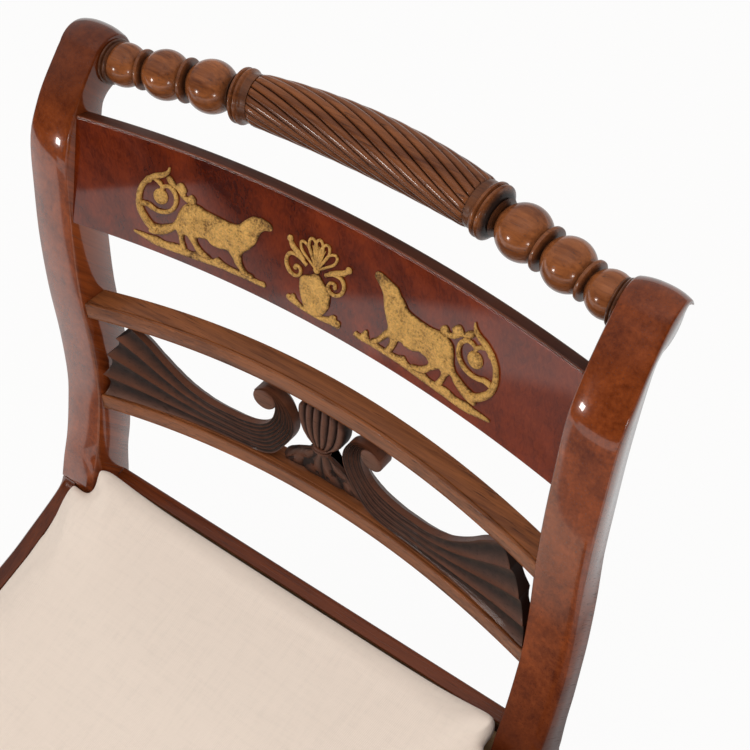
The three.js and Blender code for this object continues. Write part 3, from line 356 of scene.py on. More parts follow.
def merged(name, *pieces):
    """Join pieces into one object."""
    clear_selection()
    for piece in pieces:
        piece.select_set(True)
    bpy.context.view_layer.objects.active = pieces[0]
    if len(pieces) > 1:
        bpy.ops.object.join()
    pieces[0].name = name
    pieces[0].data.name = name
    return pieces[0]


def other_side(piece, name):
    """A copy with its own mesh, mirrored to the chair's other side."""
    twin = piece.copy()
    twin.data = piece.data.copy()
    twin.name = name
    twin.data.name = name
    bpy.context.collection.objects.link(twin)
    twin.data.transform(Matrix.Scale(-1, 4, (1, 0, 0)))
    twin.data.flip_normals()
    return twin


def fitted(piece, material, body, slot, *nodes):
    """Give a finished piece its material and its body, and hide the nodes that it stands for."""
    piece.data.materials.clear()
    piece.data.materials.append(material)
    if piece.data.attributes.get("order"):
        piece.data.attributes.remove(piece.data.attributes["order"])
    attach(piece, body)
    if nodes:
        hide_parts(*nodes)
    return piece


def fitted_pair(right, material, slot, node):
    """Fit a right-hand piece and its mirrored twin, each for its own node."""
    left = other_side(right, right.name.replace("right", "left"))
    fitted(right, material, FRAME_BODY, slot, node)
    fitted(left, material, FRAME_BODY, slot, node.replace("right", "left"))


def dress(name, material):
    """Put a material on a node that keeps its own solid, and soften its edges."""
    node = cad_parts[name]
    node.data.materials.clear()
    node.data.materials.append(material)
    weld = node.modifiers.new("Weld", "WELD")
    weld.merge_threshold = MERGE
    bevel = node.modifiers.new("Arris", "BEVEL")
    bevel.width = SOLID_ARRIS
    bevel.segments = 2
    bevel.limit_method = "ANGLE"
    bevel.angle_limit = math.radians(50)
    return node


# Places on the leaning, bowed planes of the back

class LeaningPlane:
    """A plane that leans back between the stiles and is bowed backwards in plan."""

    def __init__(self, foot, top, sag):
        self.foot = Vector(foot)
        self.up = (Vector(top) - self.foot).normalized()
        self.sag = sag

    def at(self, x, t, d):
        bow = self.sag * (1 - (x / INNER) ** 2)
        y = self.foot.x + t * self.up.x + d * self.up.y + bow
        return Vector((x, y, self.foot.y + t * self.up.y - d * self.up.x))


STILE_FRONT_SHARES = [
    (0, 0), (0.059, 0.051), (0.134, 0.11), (0.218, 0.194), (0.282, 0.271), (0.352, 0.4),
    (0.416, 0.547), (0.499, 0.697), (0.589, 0.818), (0.679, 0.912), (0.762, 0.964), (0.832, 0.999),
]
STILE_REAR_SHARES = [
    (0.218, -0.052), (0.273, 0.018), (0.335, 0.077), (0.402, 0.157), (0.464, 0.237), (0.536, 0.369),
    (0.598, 0.517), (0.676, 0.655), (0.746, 0.769), (0.816, 0.861), (0.877, 0.927), (0.917, 0.946),
]
HEAD_FRONT_ANGLE = math.radians(140)
HEAD_REAR_ANGLE = math.radians(-115)
HEAD_TIP_ANGLE = math.radians(12.5)
SPLAT_SETBACK = 2 * MM
SPLAT_BASE = 94.4 * MM
TABLET_DROP = 12.7 * MM
CARVING_SETBACK = 1.5 * MM
TABLET_RISE = 2.7 * MM
TABLET_FOOT = 1.5 * MM
VENEER_THICKNESS = 1 * MM
LOWER_RAIL_FLATTER = 2.5 * MM


def joint_front():
    return REAR - sizes().stile_depth


def joint_top():
    return BACK_TOP + sizes().joint_rise


def head():
    return Vector((joint_front() + sizes().stile_sweep, joint_top() + sizes().stile_rise))


def on_head(angle):
    return head() + Vector((math.cos(angle), math.sin(angle))) * sizes().head_radius


def rail_outer(y):
    """The outer face of a side rail, which splays towards the front."""
    return mix(OUTER, LEG_OUTER, (joint_front() - y) / (joint_front() - RAIL_FRONT))


def stile_edges():
    """The front and the rear outline of a stile above the seat, as points on the side view."""
    def edge(table, angle):
        points = [
            Vector((joint_front() + y * sizes().stile_sweep, joint_top() + z * sizes().stile_rise))
            for y, z in table
        ]
        return points + [on_head(angle)]
    return edge(STILE_FRONT_SHARES, HEAD_FRONT_ANGLE), edge(STILE_REAR_SHARES, HEAD_REAR_ANGLE)


def stile_front_at(z):
    points = [along_curve(stile_edges()[0], share) for share in shares(120)]
    i = next(k for k, point in enumerate(points) if point.y > z)
    a, b = points[i - 1], points[i]
    return mix(a.x, b.x, (z - a.y) / (b.y - a.y))


def tablet_plane():
    top = head().y - TABLET_DROP
    top_point = Vector((stile_front_at(top), top))
    low = top - splat().tablet_height
    lean = (top_point - Vector((stile_front_at(low), low))).normalized()
    return LeaningPlane(top_point - lean * splat().tablet_height, top_point, splat().tablet_sag)


def splat_plane():
    low = BACK_TOP + SPLAT_BASE
    high = low + splat().splat_height
    foot = Vector((stile_front_at(low) + SPLAT_SETBACK, low))
    top = Vector((stile_front_at(high) + SPLAT_SETBACK, high))
    return LeaningPlane(foot, top, splat().splat_sag)


# Materials

class Nodes:
    """Small builder for a tree of shader nodes."""

    def __init__(self, tree):
        self.tree = tree

    def node(self, kind, **values):
        made = self.tree.nodes.new(kind)
        for key, value in values.items():
            if hasattr(made, key):
                setattr(made, key, value)
            else:
                made.inputs[key.replace("_", " ").title()].default_value = value
        return made

    def link(self, start, end):
        self.tree.links.new(start, end)

    def feed(self, value, socket):
        """Link a socket to another, or give it a number or a colour."""
        if isinstance(value, bpy.types.NodeSocket):
            self.link(value, socket)
        elif isinstance(value, (int, float)):
            socket.default_value = value
        else:
            socket.default_value = self.four(value)

    @staticmethod
    def four(colour):
        if isinstance(colour, (int, float)):
            return (colour, colour, colour, 1)
        return (*colour, 1)

    def sum(self, first, second, kind="ADD"):
        made = self.node("ShaderNodeMath", operation=kind)
        self.feed(first, made.inputs[0])
        self.feed(second, made.inputs[1])
        return made.outputs[0]

    def times(self, first, second):
        return self.sum(first, second, "MULTIPLY")

    def rest(self, value):
        """What a value lacks to 1."""
        return self.sum(1.0, value, "SUBTRACT")

    def surface(self, share, first, second, output):
        """Mix two shaders into the output."""
        mixed = self.node("ShaderNodeMixShader")
        for start, end in zip((share, first.outputs[0], second.outputs[0]), mixed.inputs):
            self.link(start, end)
        self.link(mixed.outputs[0], output.inputs["Surface"])


class Paint(Nodes):
    """Small builder for node materials."""

    def __init__(self, name):
        self.material = bpy.data.materials.new(name)
        self.material.use_nodes = True
        super().__init__(self.material.node_tree)
        self.shader = self.tree.nodes["Principled BSDF"]

    def place(self, scale=(1, 1, 1), turn=(0, 0, 0), shift=(0, 0, 0)):
        """Object coordinates, turned and then stretched."""
        source = self.node("ShaderNodeTexCoord")
        if any(turn):
            turned_first = self.node("ShaderNodeMapping")
            turned_first.inputs["Rotation"].default_value = [math.radians(a) for a in turn]
            self.link(source.outputs["Object"], turned_first.inputs["Vector"])
            source = turned_first
        mapping = self.node("ShaderNodeMapping")
        mapping.inputs["Location"].default_value = shift
        mapping.inputs["Scale"].default_value = scale
        self.link(source.outputs["Vector" if any(turn) else "Object"], mapping.inputs["Vector"])
        return mapping.outputs["Vector"]

    def axes(self):
        """Object coordinates, as x, y and z."""
        made = self.node("ShaderNodeSeparateXYZ")
        self.link(self.place(), made.inputs[0])
        return made.outputs

    def noise(self, vector, scale, detail=4, rough=0.55, distortion=0.0):
        """Noise, stretched to run from about 0 to 1."""
        made = self.node(
            "ShaderNodeTexNoise", scale=scale, detail=detail, roughness=rough, distortion=distortion,
        )
        self.link(vector, made.inputs["Vector"])
        stretched = self.node("ShaderNodeMapRange", clamp=False, from_min=0.28, from_max=0.72)
        self.link(made.outputs["Fac"], stretched.inputs["Value"])
        return stretched.outputs["Result"]

    def wave(self, vector, scale, distortion, detail=3, direction="X", rough=0.6, detail_scale=1.0):
        made = self.node(
            "ShaderNodeTexWave", bands_direction=direction, scale=scale, distortion=distortion, detail=detail,
            detail_scale=detail_scale, detail_roughness=rough,
        )
        self.link(vector, made.inputs["Vector"])
        return made.outputs["Fac"]

    def ramp(self, value, stops):
        made = self.node("ShaderNodeValToRGB")
        made.color_ramp.elements[0].position = stops[0][0]
        made.color_ramp.elements[0].color = self.four(stops[0][1])
        made.color_ramp.elements[1].position = stops[-1][0]
        made.color_ramp.elements[1].color = self.four(stops[-1][1])
        for position, colour in stops[1:-1]:
            made.color_ramp.elements.new(position).color = self.four(colour)
        self.link(value, made.inputs["Fac"])
        return made.outputs["Color"]

    def blend(self, factor, first, second):
        made = self.node("ShaderNodeMix", data_type="RGBA")
        for value, socket in ((factor, made.inputs[0]), (first, made.inputs[6]), (second, made.inputs[7])):
            self.feed(value, socket)
        return made.outputs[2]

    def range(self, value, low, high):
        made = self.node("ShaderNodeMapRange", to_min=low, to_max=high)
        self.link(value, made.inputs["Value"])
        return made.outputs["Result"]

    def between(self, value, low, high):
        """0 below low and 1 above high, or the other way round where low is the higher."""
        made = self.node("ShaderNodeMapRange", from_min=low, from_max=high)
        self.link(value, made.inputs["Value"])
        return made.outputs["Result"]

    def attribute(self, name):
        made = self.node("ShaderNodeAttribute")
        made.attribute_name = name
        return made.outputs["Fac"]

    def bump(self, height, strength, distance, before=None):
        made = self.node("ShaderNodeBump", strength=strength, distance=distance)
        self.link(height, made.inputs["Height"])
        if before is not None:
            self.link(before, made.inputs["Normal"])
        return made.outputs["Normal"]

    def finish(self, colour, roughness, normal=None, **constants):
        self.feed(colour, self.shader.inputs["Base Color"])
        self.feed(roughness, self.shader.inputs["Roughness"])
        if normal is not None:
            self.link(normal, self.shader.inputs["Normal"])
        for key, value in constants.items():
            self.shader.inputs[key.replace("_", " ").title().replace("Ior", "IOR")].default_value = value
        return self.material


# Dark colour of old wax and painted shade in the turned wood's grooves and crevices
WAX_AND_SHADE = (0.014, 0.006, 0.004)
# Where painted shade darkens the stiles' heads and the right stile low down, and where the right stile's
# polish grows dull: from one height in metres to another
HEAD_SHADE_FROM = (0.768, 0.8)
DULL_FROM = (0.7, 0.6)
SHADED_FROM = (0.57, 0.47)
RIGHT_FROM = (-0.05, 0.1)


def wood(
    name, dark, light, turn=(0, 0, 0), figure=1.0, gloss=0.2, coat=0.35, hollow=False, recess_wax_and_shade=(0, 0, 0),
    pores=0.5, painted_stile_shade=False,
):
    """Polished wood with its grain along the turned Z axis.

    Painted shade darkens the tops of the stiles' heads, the left one more, and the right stile low down,
    where its polish also grows dull.
    """
    made = bpy.data.materials.get(name)
    if made:
        return made
    paint = Paint(name)
    fibres = paint.noise(paint.place((1, 1, 0.05), turn), 420, 5, 0.62, 0.3)
    streaks = paint.noise(paint.place((1, 1, 0.045), turn), 120, 4, 0.6, 0.5)
    cloud = paint.noise(paint.place((1, 1, 0.13), turn), 20, 3, 0.5, 0.3)
    ribbon = paint.wave(paint.place((1, 1, 0.06), turn, (0.3, 0.1, 0)), 14, 2.6, 3, "DIAGONAL", 0.55, 1.2)
    tone = paint.sum(paint.range(streaks, 0, 0.3), paint.range(fibres, 0, 0.24))
    tone = paint.sum(tone, paint.range(cloud, 0, 0.3 * figure))
    tone = paint.sum(tone, paint.range(ribbon, 0, 0.11 * figure))
    middle = blended(dark, light, 0.5)
    top = 0.54 + 0.41 * figure
    colour = paint.ramp(tone, [(top * 0.16, dark), (top * 0.5, middle), (top * 0.84, light)])
    pore = paint.noise(paint.place((1, 1, 0.035), turn, (0.7, 0.2, 0.1)), 950, 2, 0.5)
    pore_mask = paint.ramp(pore, [(0.74, 0.0), (0.98, 1.0)])
    colour = paint.blend(paint.times(pore_mask, pores), colour, toned(dark, 0.32))
    rough = paint.sum(paint.range(cloud, gloss * 0.85, gloss * 1.2), paint.times(pore_mask, 0.16))
    if hollow:
        # Old wax and painted shade: points marked in the hollow attribute, in grooves, crevices, under the
        # balls and on the carving's shaded end, are darkened to the recess colour
        depth = paint.attribute("hollow")
        uneven_recess = paint.noise(paint.place(), 210, 4, 0.6)
        depth = paint.times(depth, paint.range(uneven_recess, 0.84, 1.1))
        mask = paint.ramp(depth, [(0.1, 0.0), (0.9, 1.0)])
        colour = paint.blend(mask, colour, recess_wax_and_shade)
        rough = paint.sum(rough, paint.times(mask, 0.3))
    if painted_stile_shade:
        x, _, z = paint.axes()
        right = paint.between(x, *RIGHT_FROM)
        # Painted shade on the tops of the stiles' heads, darker on the left one
        head_shade = paint.times(paint.between(z, *HEAD_SHADE_FROM), paint.between(right, 1.9, -0.1))
        colour = paint.blend(paint.times(head_shade, 0.62), colour, toned(dark, 0.5))
        dull = paint.times(paint.between(z, *DULL_FROM), right)
        # Painted shade on the right stile low down
        shade = paint.times(paint.between(z, *SHADED_FROM), right)
        colour = paint.blend(paint.times(shade, 0.9), colour, toned(dark, 0.6))
        rough = paint.sum(rough, paint.times(dull, 0.2))
        paint.link(paint.between(dull, 1.12, 0.0), paint.shader.inputs["Coat Weight"])
        paint.link(paint.times(paint.between(dull, 1.2, 0.0), 0.3), paint.shader.inputs["Specular IOR Level"])
    normal = paint.bump(paint.sum(pore_mask, paint.range(fibres, 0, -0.5)), 0.1, 0.0002)
    return paint.finish(colour, rough, normal, coat_weight=coat, coat_roughness=0.05)


def polished():
    dark, light = finishes().mahogany_dark, finishes().mahogany_light
    return wood("polished_mahogany_upright", dark, light, (-24, 0, 0), 0.6, 0.18, 1.0, painted_stile_shade=True)


def polished_leg():
    dark, light = finishes().mahogany_dark, finishes().mahogany_light
    return wood("polished_mahogany_legs", dark, light, (12, 0, 0), 0.8, 0.18, 1.0)


def polished_across():
    dark, light = toned(finishes().mahogany_dark, 0.55), toned(finishes().mahogany_light, 0.55)
    return wood("polished_mahogany_across", dark, light, (0, 90, 0), 0.8, 0.26, 0.6)


def polished_along():
    dark, light = toned(finishes().mahogany_dark, 0.55), toned(finishes().mahogany_light, 0.55)
    return wood("polished_mahogany_side_rails", dark, light, (90, 0, 0), 0.8, 0.2, 0.8)


def splat_rail_wood():
    dark, light = finishes().turned_dark, toned(finishes().turned_light, 1.22)
    return wood("polished_mahogany_splat_rails", dark, light, (0, 90, 0), 0.6, 0.36, 0.12, pores=0.7)


def turned_wood():
    dark, light = finishes().turned_dark, finishes().turned_light
    return wood("turned_mahogany_finish", dark, light, (0, 90, 0), 0.8, 0.24, 0.35, True, WAX_AND_SHADE, 0.6)


def ball_wood():
    dark, light = toned(finishes().turned_dark, 1.4), toned(finishes().turned_light, 1.4)
    return wood("turned_mahogany_balls", dark, light, (0, 90, 0), 0.8, 0.2, 0.45, True, WAX_AND_SHADE, 0.6)


def edge_wood():
    dark, light = toned(finishes().mahogany_dark, 0.22), toned(finishes().mahogany_light, 0.22)
    return wood("polished_mahogany_tablet_edge", dark, light, (0, 90, 0), 0.8, 0.36, 0.12)


def carved_wood():
    dark, light = toned(finishes().carved_light, 0.5), finishes().carved_light
    groove_wax_and_shade = finishes().carved_dark
    return wood("carved_mahogany_finish", dark, light, (0, 90, 0), 0.7, 0.44, 0.05, True, groove_wax_and_shade, 0.6)


def flame_veneer():
    """Deep red veneer whose flames run out from the middle, under a glossy polish."""
    made = bpy.data.materials.get("flame_veneer_finish")
    if made:
        return made
    paint = Paint("flame_veneer_finish")
    dark, light = finishes().flame_dark, finishes().flame_light
    middle = blended(dark, light, 0.38)
    flames = paint.wave(paint.place((1, 1, 0.45), (0, 34, 0), (0.02, 0, 0)), 8, 9, 4, "X", 0.62, 1.3)
    mottle = paint.noise(paint.place((0.55, 1, 1.1), (0, -22, 0)), 24, 4, 0.6, 1.4)
    hair = paint.noise(paint.place((1, 1, 0.06), (0, 14, 0)), 360, 4, 0.62, 1.2)
    patch = paint.noise(paint.place((0.7, 1, 1.2), (0, 10, 0), (0.31, 0, 0.1)), 10, 2, 0.5, 0.8)
    tone = paint.sum(paint.range(flames, 0, 0.15), paint.range(mottle, 0, 0.24))
    tone = paint.sum(tone, paint.range(patch, 0, 0.3))
    tone = paint.sum(tone, paint.range(hair, 0, 0.31))
    tone = paint.sum(tone, paint.range(paint.between(paint.axes()[0], 0.02, 0.14), 0, 0.16))
    colour = paint.ramp(tone, [(0.26, dark), (0.48, middle), (0.8, light)])
    rough = paint.range(mottle, 0.1, 0.2)
    return paint.finish(
        colour, rough, paint.bump(hair, 0.05, 0.0002), coat_weight=1.0, coat_roughness=0.03,
        specular_ior_level=0.3,
    )


def gilt_brass():
    """Cast brass with worn gilding, stippled with a punch, dull where it lies low."""
    made = bpy.data.materials.get("gilt_brass_finish")
    if made:
        return made
    paint = Paint("gilt_brass_finish")
    bright, dull = finishes().brass_bright, finishes().brass_dull
    punched = paint.node("ShaderNodeTexVoronoi")
    punched.inputs["Scale"].default_value = 1100
    paint.link(paint.place(), punched.inputs["Vector"])
    grit = paint.noise(paint.place(), 700, 4, 0.65, 0.3)
    wear = paint.noise(paint.place(), 110, 4, 0.6, 0.5)
    low = paint.attribute("hollow")
    tone = paint.sum(paint.range(grit, 0.04, 0.6), paint.range(wear, 0.06, 0.5))
    tone = paint.sum(tone, paint.times(low, 0.9), "SUBTRACT")
    colour = paint.ramp(
        tone, [(0.0, toned(dull, 0.3)), (0.24, dull), (0.52, blended(dull, bright, 0.6)), (0.86, bright)],
    )
    normal = paint.bump(wear, 1.0, 0.0016)
    normal = paint.bump(punched.outputs["Distance"], 0.8, 0.0004, normal)
    normal = paint.bump(grit, 0.9, 0.0006, normal)
    return paint.finish(colour, paint.range(wear, 0.36, 0.5), normal, metallic=0.32)


# A wave texture's scale times ten is its bands' rate in radians per half thread
WAVE_RATE = 10


def linen():
    """Plain-woven cream cloth."""
    made = bpy.data.materials.get("cream_cloth_finish")
    if made:
        return made
    paint = Paint("cream_cloth_finish")
    pitch = bpy.context.scene.seat_sizes.thread
    scale = math.pi / pitch / WAVE_RATE
    slub = paint.noise(paint.place((1, 0.12, 1)), 300, 3, 0.6)
    slub_two = paint.noise(paint.place((0.12, 1, 1)), 300, 3, 0.6)
    warp = paint.wave(paint.place(), scale, 0.25, 1, "X")
    weft = paint.wave(paint.place(), scale, 0.25, 1, "Y")
    crossing = paint.sum(warp, weft)
    cloud = paint.noise(paint.place(), 9, 3, 0.5)
    base = finishes().linen
    shade = paint.sum(paint.range(crossing, -0.018, 0.006), paint.range(cloud, -0.012, 0.016))
    shade = paint.sum(shade, paint.sum(paint.range(slub, -0.03, 0.03), paint.range(slub_two, -0.03, 0.03)))
    colour = paint.ramp(
        paint.sum(shade, 0.5), [(0.36, toned(base, 0.86)), (0.5, base), (0.64, toned(base, 1.05))],
    )
    normal = paint.bump(crossing, 0.22, 0.0003)
    normal = paint.bump(paint.sum(slub, slub_two), 0.12, 0.0003, normal)
    return paint.finish(colour, 0.92, normal, sheen_weight=0.15, sheen_roughness=0.5)


def woven(name, colour, pitch, contrast):
    made = bpy.data.materials.get(name)
    if made:
        return made
    paint = Paint(name)
    scale = math.pi / pitch / WAVE_RATE
    warp = paint.wave(paint.place(), scale, 0.6, 2, "X")
    weft = paint.wave(paint.place(), scale, 0.6, 2, "Y")
    crossing = paint.times(warp, weft)
    fuzz = paint.noise(paint.place(), 420, 4, 0.65)
    tone = paint.sum(paint.range(crossing, 0, contrast), paint.range(fuzz, 0.1, 0.8 - contrast))
    shade = paint.ramp(tone, [(0.1, toned(colour, 0.5)), (0.8, toned(colour, 1.2))])
    return paint.finish(shade, 0.95, paint.bump(crossing, 0.5, 0.0006))


def beech():
    light = finishes().beech
    return wood("plain_beech_finish", toned(light, 0.7), light, (0, 90, 0), 0.5, 0.62, 0.0, pores=0.25)


def steel():
    made = bpy.data.materials.get("dull_steel")
    if made:
        return made
    paint = Paint("dull_steel")
    spots = paint.noise(paint.place(), 700, 4, 0.6)
    colour = paint.ramp(spots, [(0.35, (0.1, 0.075, 0.055)), (0.7, (0.26, 0.25, 0.24))])
    return paint.finish(colour, paint.range(spots, 0.4, 0.65), paint.bump(spots, 0.2, 0.0002), metallic=0.9)


# Pieces

def outline_normals(points):
    """Unit normals to the right of a row of side-view points."""
    made = []
    for i in range(len(points)):
        a, b = points[max(i - 1, 0)], points[min(i + 1, len(points) - 1)]
        run = (b - a).normalized()
        made.append(Vector((run.y, -run.x)))
    return made


SWEEP_TOP = 430 * MM
LEG_TOE = 29 * MM
BREAST = 4 * MM
BREAST_DROP = 20 * MM
BREAST_LENGTH = 34 * MM
HEAD_NARROWER = 1.2 * MM


def stile_rungs():
    """Front and rear points of a stile from its foot to the tip of its head.

    Each comes with how crowned, how tapered and how much like the rolled head it is there.
    """
    low = BACK_TOP - sizes().rail_drop
    rungs = []

    def leg_rear(z):
        return REAR + sizes().leg_sweep * max(0, 1 - z / SWEEP_TOP) ** 1.7

    knee = leg_rear(low) - joint_front()
    for s in shares(26):
        z = s * low
        rear = leg_rear(z)
        toe = Vector((rear - mix(LEG_TOE, knee, s), z))
        rungs.append((toe, Vector((rear, z)), min(1, (1 - s) * 4), 0, 0))
    for s in (0.3, 0.5, 0.75):
        front = Vector((joint_front(), mix(low, joint_top(), s)))
        rungs.append((front, Vector((REAR, mix(low, joint_top(), s * 0.9))), 0, 0, 0))
    front, rear = stile_edges()
    for s in shares(48):
        place = along_curve(front, s)
        full = BREAST * math.exp(-((place.y - head().y + BREAST_DROP) / BREAST_LENGTH) ** 2)
        shape = (min(1, s * 8), min(1, s * 2), smooth_step(0.8, 1, s))
        rungs.append((place - Vector((full, 0)), along_curve(rear, s), *shape))
    for s in shares(14)[1:]:
        front_angle = mix(HEAD_FRONT_ANGLE, HEAD_TIP_ANGLE, s)
        rear_angle = mix(HEAD_REAR_ANGLE, HEAD_TIP_ANGLE, s)
        rungs.append((on_head(front_angle), on_head(rear_angle), 1, 1, 1))
    return rungs


def stile_piece(name):
    rungs = stile_rungs()
    front_normals = outline_normals([rung[0] for rung in rungs])
    rear_normals = outline_normals([rung[1] for rung in rungs])
    tip = (head() - rungs[-1][0]).normalized()
    front_normals[-1], rear_normals[-1] = tip, -tip
    width = OUTER - INNER
    arris = sizes().arris
    rings = []
    for i, (front, rear, crown, taper, rolled) in enumerate(rungs):
        def inset(x, wide, share=1.0):
            u = abs(x / wide * 2 - 1)
            edge = min(x, wide - x)
            rounding = max(0, arris - edge) ** 2 / arris * 0.8
            proud = mix(sizes().stile_crown * crown, sizes().head_crown, rolled)
            return rounding - share * proud * (1 - u ** 2.4)

        def places(wide):
            ends = [0, 0.35 * arris, 0.7 * arris, arris, 2 * MM, 3.6 * MM]
            middle = [wide * k for k in (0.18, 0.27, 0.38, 0.5, 0.62, 0.73, 0.82)]
            return [*ends, *middle, *(wide - x for x in reversed(ends))]

        wide = width - HEAD_NARROWER * rolled
        wide_back = wide - sizes().stile_taper * taper
        ring = []
        for x in places(wide):
            point = front + front_normals[i] * inset(x, wide)
            ring.append(Vector((INNER + x, point.x, point.y)))
        for x in reversed(places(wide_back)):
            point = rear - rear_normals[i] * inset(x, wide_back, rolled)
            ring.append(Vector((INNER + x, point.x, point.y)))
        rings.append(ring)
    return smoothed(grown(name, rings), 50)


def bar_along_x(name, reach, section, plane=None, stations=2):
    """A bar between the stiles from its section: (t, d) on a leaning plane, or (y, z) where there is none."""
    rings = []
    for s in shares(stations):
        x = mix(-reach, reach, s)
        rings.append([plane.at(x, t, d) if plane else Vector((x, t, d)) for t, d in section])
    return grown(name, rings)


def softened(points, radius, each=3):
    """Round the corners of a closed outline."""
    made = []
    count = len(points)
    for i, point in enumerate(points):
        corner = Vector(point[:2])
        size = point[2] if len(point) > 2 else radius
        before, after = Vector(points[i - 1][:2]), Vector(points[(i + 1) % count][:2])
        a = corner + (before - corner).normalized() * min(size, (before - corner).length * 0.35)
        b = corner + (after - corner).normalized() * min(size, (after - corner).length * 0.35)
        made.append(a + (a - corner) * 0.35)
        for k in range(each + 1):
            w = k / each
            made.append(a * (1 - w) ** 2 + corner * 2 * w * (1 - w) + b * w ** 2)
        made.append(b + (b - corner) * 0.35)
    return made


def top_rail_place(x):
    return Vector((x, head().x + turning().sag * (1 - (x / INNER) ** 2) ** 1.25, head().y))


def top_rail_along(x):
    return Vector((1, -2.5 * turning().sag * x / INNER ** 2 * (1 - (x / INNER) ** 2) ** 0.25, 0)).normalized()


def top_rail_ring(x, radii, turn):
    along = top_rail_along(x)
    level = Vector((-along.y, along.x, 0))
    centre = top_rail_place(x)
    return [
        centre + level * (r * math.cos(turn + angle)) + Vector((0, 0, r * math.sin(turn + angle)))
        for r, angle in zip(radii, around(len(radii)))
    ]


def mark_hollow(piece, depth_at):
    """Store how dark each point is painted, from 0 on the ridges to 1 in the grooves: old wax and painted
    shade on the wood, dull gilding on the brass.
    """
    layer = piece.data.attributes.get("hollow") or piece.data.attributes.new("hollow", "FLOAT", "POINT")
    for vert in piece.data.vertices:
        layer.data[vert.index].value = min(1.0, max(0.0, depth_at(vert.co)))
    return piece


COLLAR_OUTLINE = [
    (-0.07, -1.2), (-0.05, 0.02), (0.02, 0.05), (0.16, 0.08), (0.26, 0.05), (0.33, 0.3), (0.36, 0.72),
    (0.40, 0.95), (0.45, 1.0), (0.50, 0.9), (0.53, 0.45), (0.56, 0.05), (0.59, 0.45), (0.625, 0.86),
    (0.67, 0.95), (0.72, 0.88), (0.755, 0.62), (0.78, 0.3), (0.84, -0.25), (0.92, -0.9), (0.97, -1.6),
    (1.0, -2.6),
]
REED_POINTS = 9
REED_ROUNDING = 4 * MM
COLLAR_LOW, COLLAR_HIGH = 15.8 * MM, 18.2 * MM


def reeded_centre_piece():
    rail = turning()
    half = rail.reed_length / 2
    rings = []
    for s in shares(92):
        outer = mix(rail.end_radius, rail.middle_radius, math.sin(s * math.pi) ** 0.8)
        from_end = min(s, 1 - s) * rail.reed_length
        rounded_end = 1 - math.sqrt(max(0, 1 - max(0, 1 - from_end / REED_ROUNDING) ** 2))
        radii = []
        for j in range(REED_POINTS):
            groove = 1 - math.sqrt(max(0, 1 - abs(j / REED_POINTS * 2 - 1) ** 2.2))
            radii.append(outer - rail.reed_depth * max(groove, rounded_end))
        turn = s * rail.reed_turns * math.tau
        rings.append(top_rail_ring(mix(-half, half, s), radii * rail.reed_count, turn))
    body = smoothed(grown("reeds", rings), 60)
    mark_hollow(body, lambda co: reed_depth_at(co, half))
    parts = [body]
    length = rail.collar_length
    for side in (-1, 1):
        centre = top_rail_place(side * (half + length / 2))
        axis = top_rail_along(side * (half + length / 2)) * side
        outline = [(-length / 2 - 1 * MM, 0)]
        outline += [
            ((share - 0.5) * length, mix(COLLAR_LOW, COLLAR_HIGH, radius)) for share, radius in COLLAR_OUTLINE
        ]
        outline.append((length / 2, 0))
        collar = smoothed(turned("collar", outline, centre, axis, 56), 40)
        mark_hollow(collar, lambda co, c=centre, a=axis: collar_depth_at(co, c, a))
        parts.append(collar)
    return merged("top_rail_reeds_and_collars", *parts)


def reed_depth_at(co, half):
    s = (co.x + half) / (2 * half)
    outer = mix(turning().end_radius, turning().middle_radius, math.sin(min(1, max(0, s)) * math.pi) ** 0.8)
    centre = top_rail_place(co.x)
    radius = math.hypot(co.y - centre.y, co.z - centre.z)
    return max(0, (outer - radius) / turning().reed_depth) ** 1.6


def collar_depth_at(co, centre, axis):
    offset = co - centre
    along = offset.dot(axis)
    radius = (offset - axis * along).length
    return 1.0 - (radius - 14.4 * MM) / (2.6 * MM)


BALL_RADII = (17.4 * MM, 16.4 * MM, 14.5 * MM)
BALL_PLACES = (116.6 * MM, 149.9 * MM, 179.7 * MM)
DISC_RADII = (14.8 * MM, 13.4 * MM)
DISC_HALF = 1.5 * MM
FLARE_OUTLINE = [
    (0, 0), (0, 14.4), (-0.3, 15.2), (-1.0, 15.6), (-1.7, 15.3), (-2.0, 14.3), (-2.3, 12.9), (-2.7, 14.0),
    (-3.2, 14.7), (-3.8, 14.8), (-4.4, 14.3), (-4.8, 13.2), (-4.9, 0),
]


def ball_outline(radius, neck):
    """A turned ball, a little flat where the tool left its ends."""
    start = math.asin(min(1, neck * 0.92 / radius))
    angles = [mix(start, math.pi - start, s) for s in shares(26)]
    outline = [(-math.cos(angle) * radius, math.sin(angle) * radius) for angle in angles]
    return [(-math.cos(start) * radius, 0), *outline, (math.cos(start) * radius, 0)]


def ball_painted_shade(out, along):
    """Painted shade: dark towards the discs on both sides and underneath."""
    return 0.95 * max(0, abs(out.dot(along)) - 0.62) / 0.38 + 0.5 * max(0, -out.z) ** 1.5


def disc_outline(radius, neck, half):
    rim = half * 0.95
    side = [
        (half * 2.6, 0), (half * 2.6, neck * 0.86), (half * 1.5, neck * 0.9), (half * 1.05, neck),
        (rim, neck * 1.08), (rim * 0.98, radius * 0.93), (rim * 0.7, radius * 0.985),
    ]
    return [(-along, across) for along, across in side] + [(0, radius)] + side[::-1]


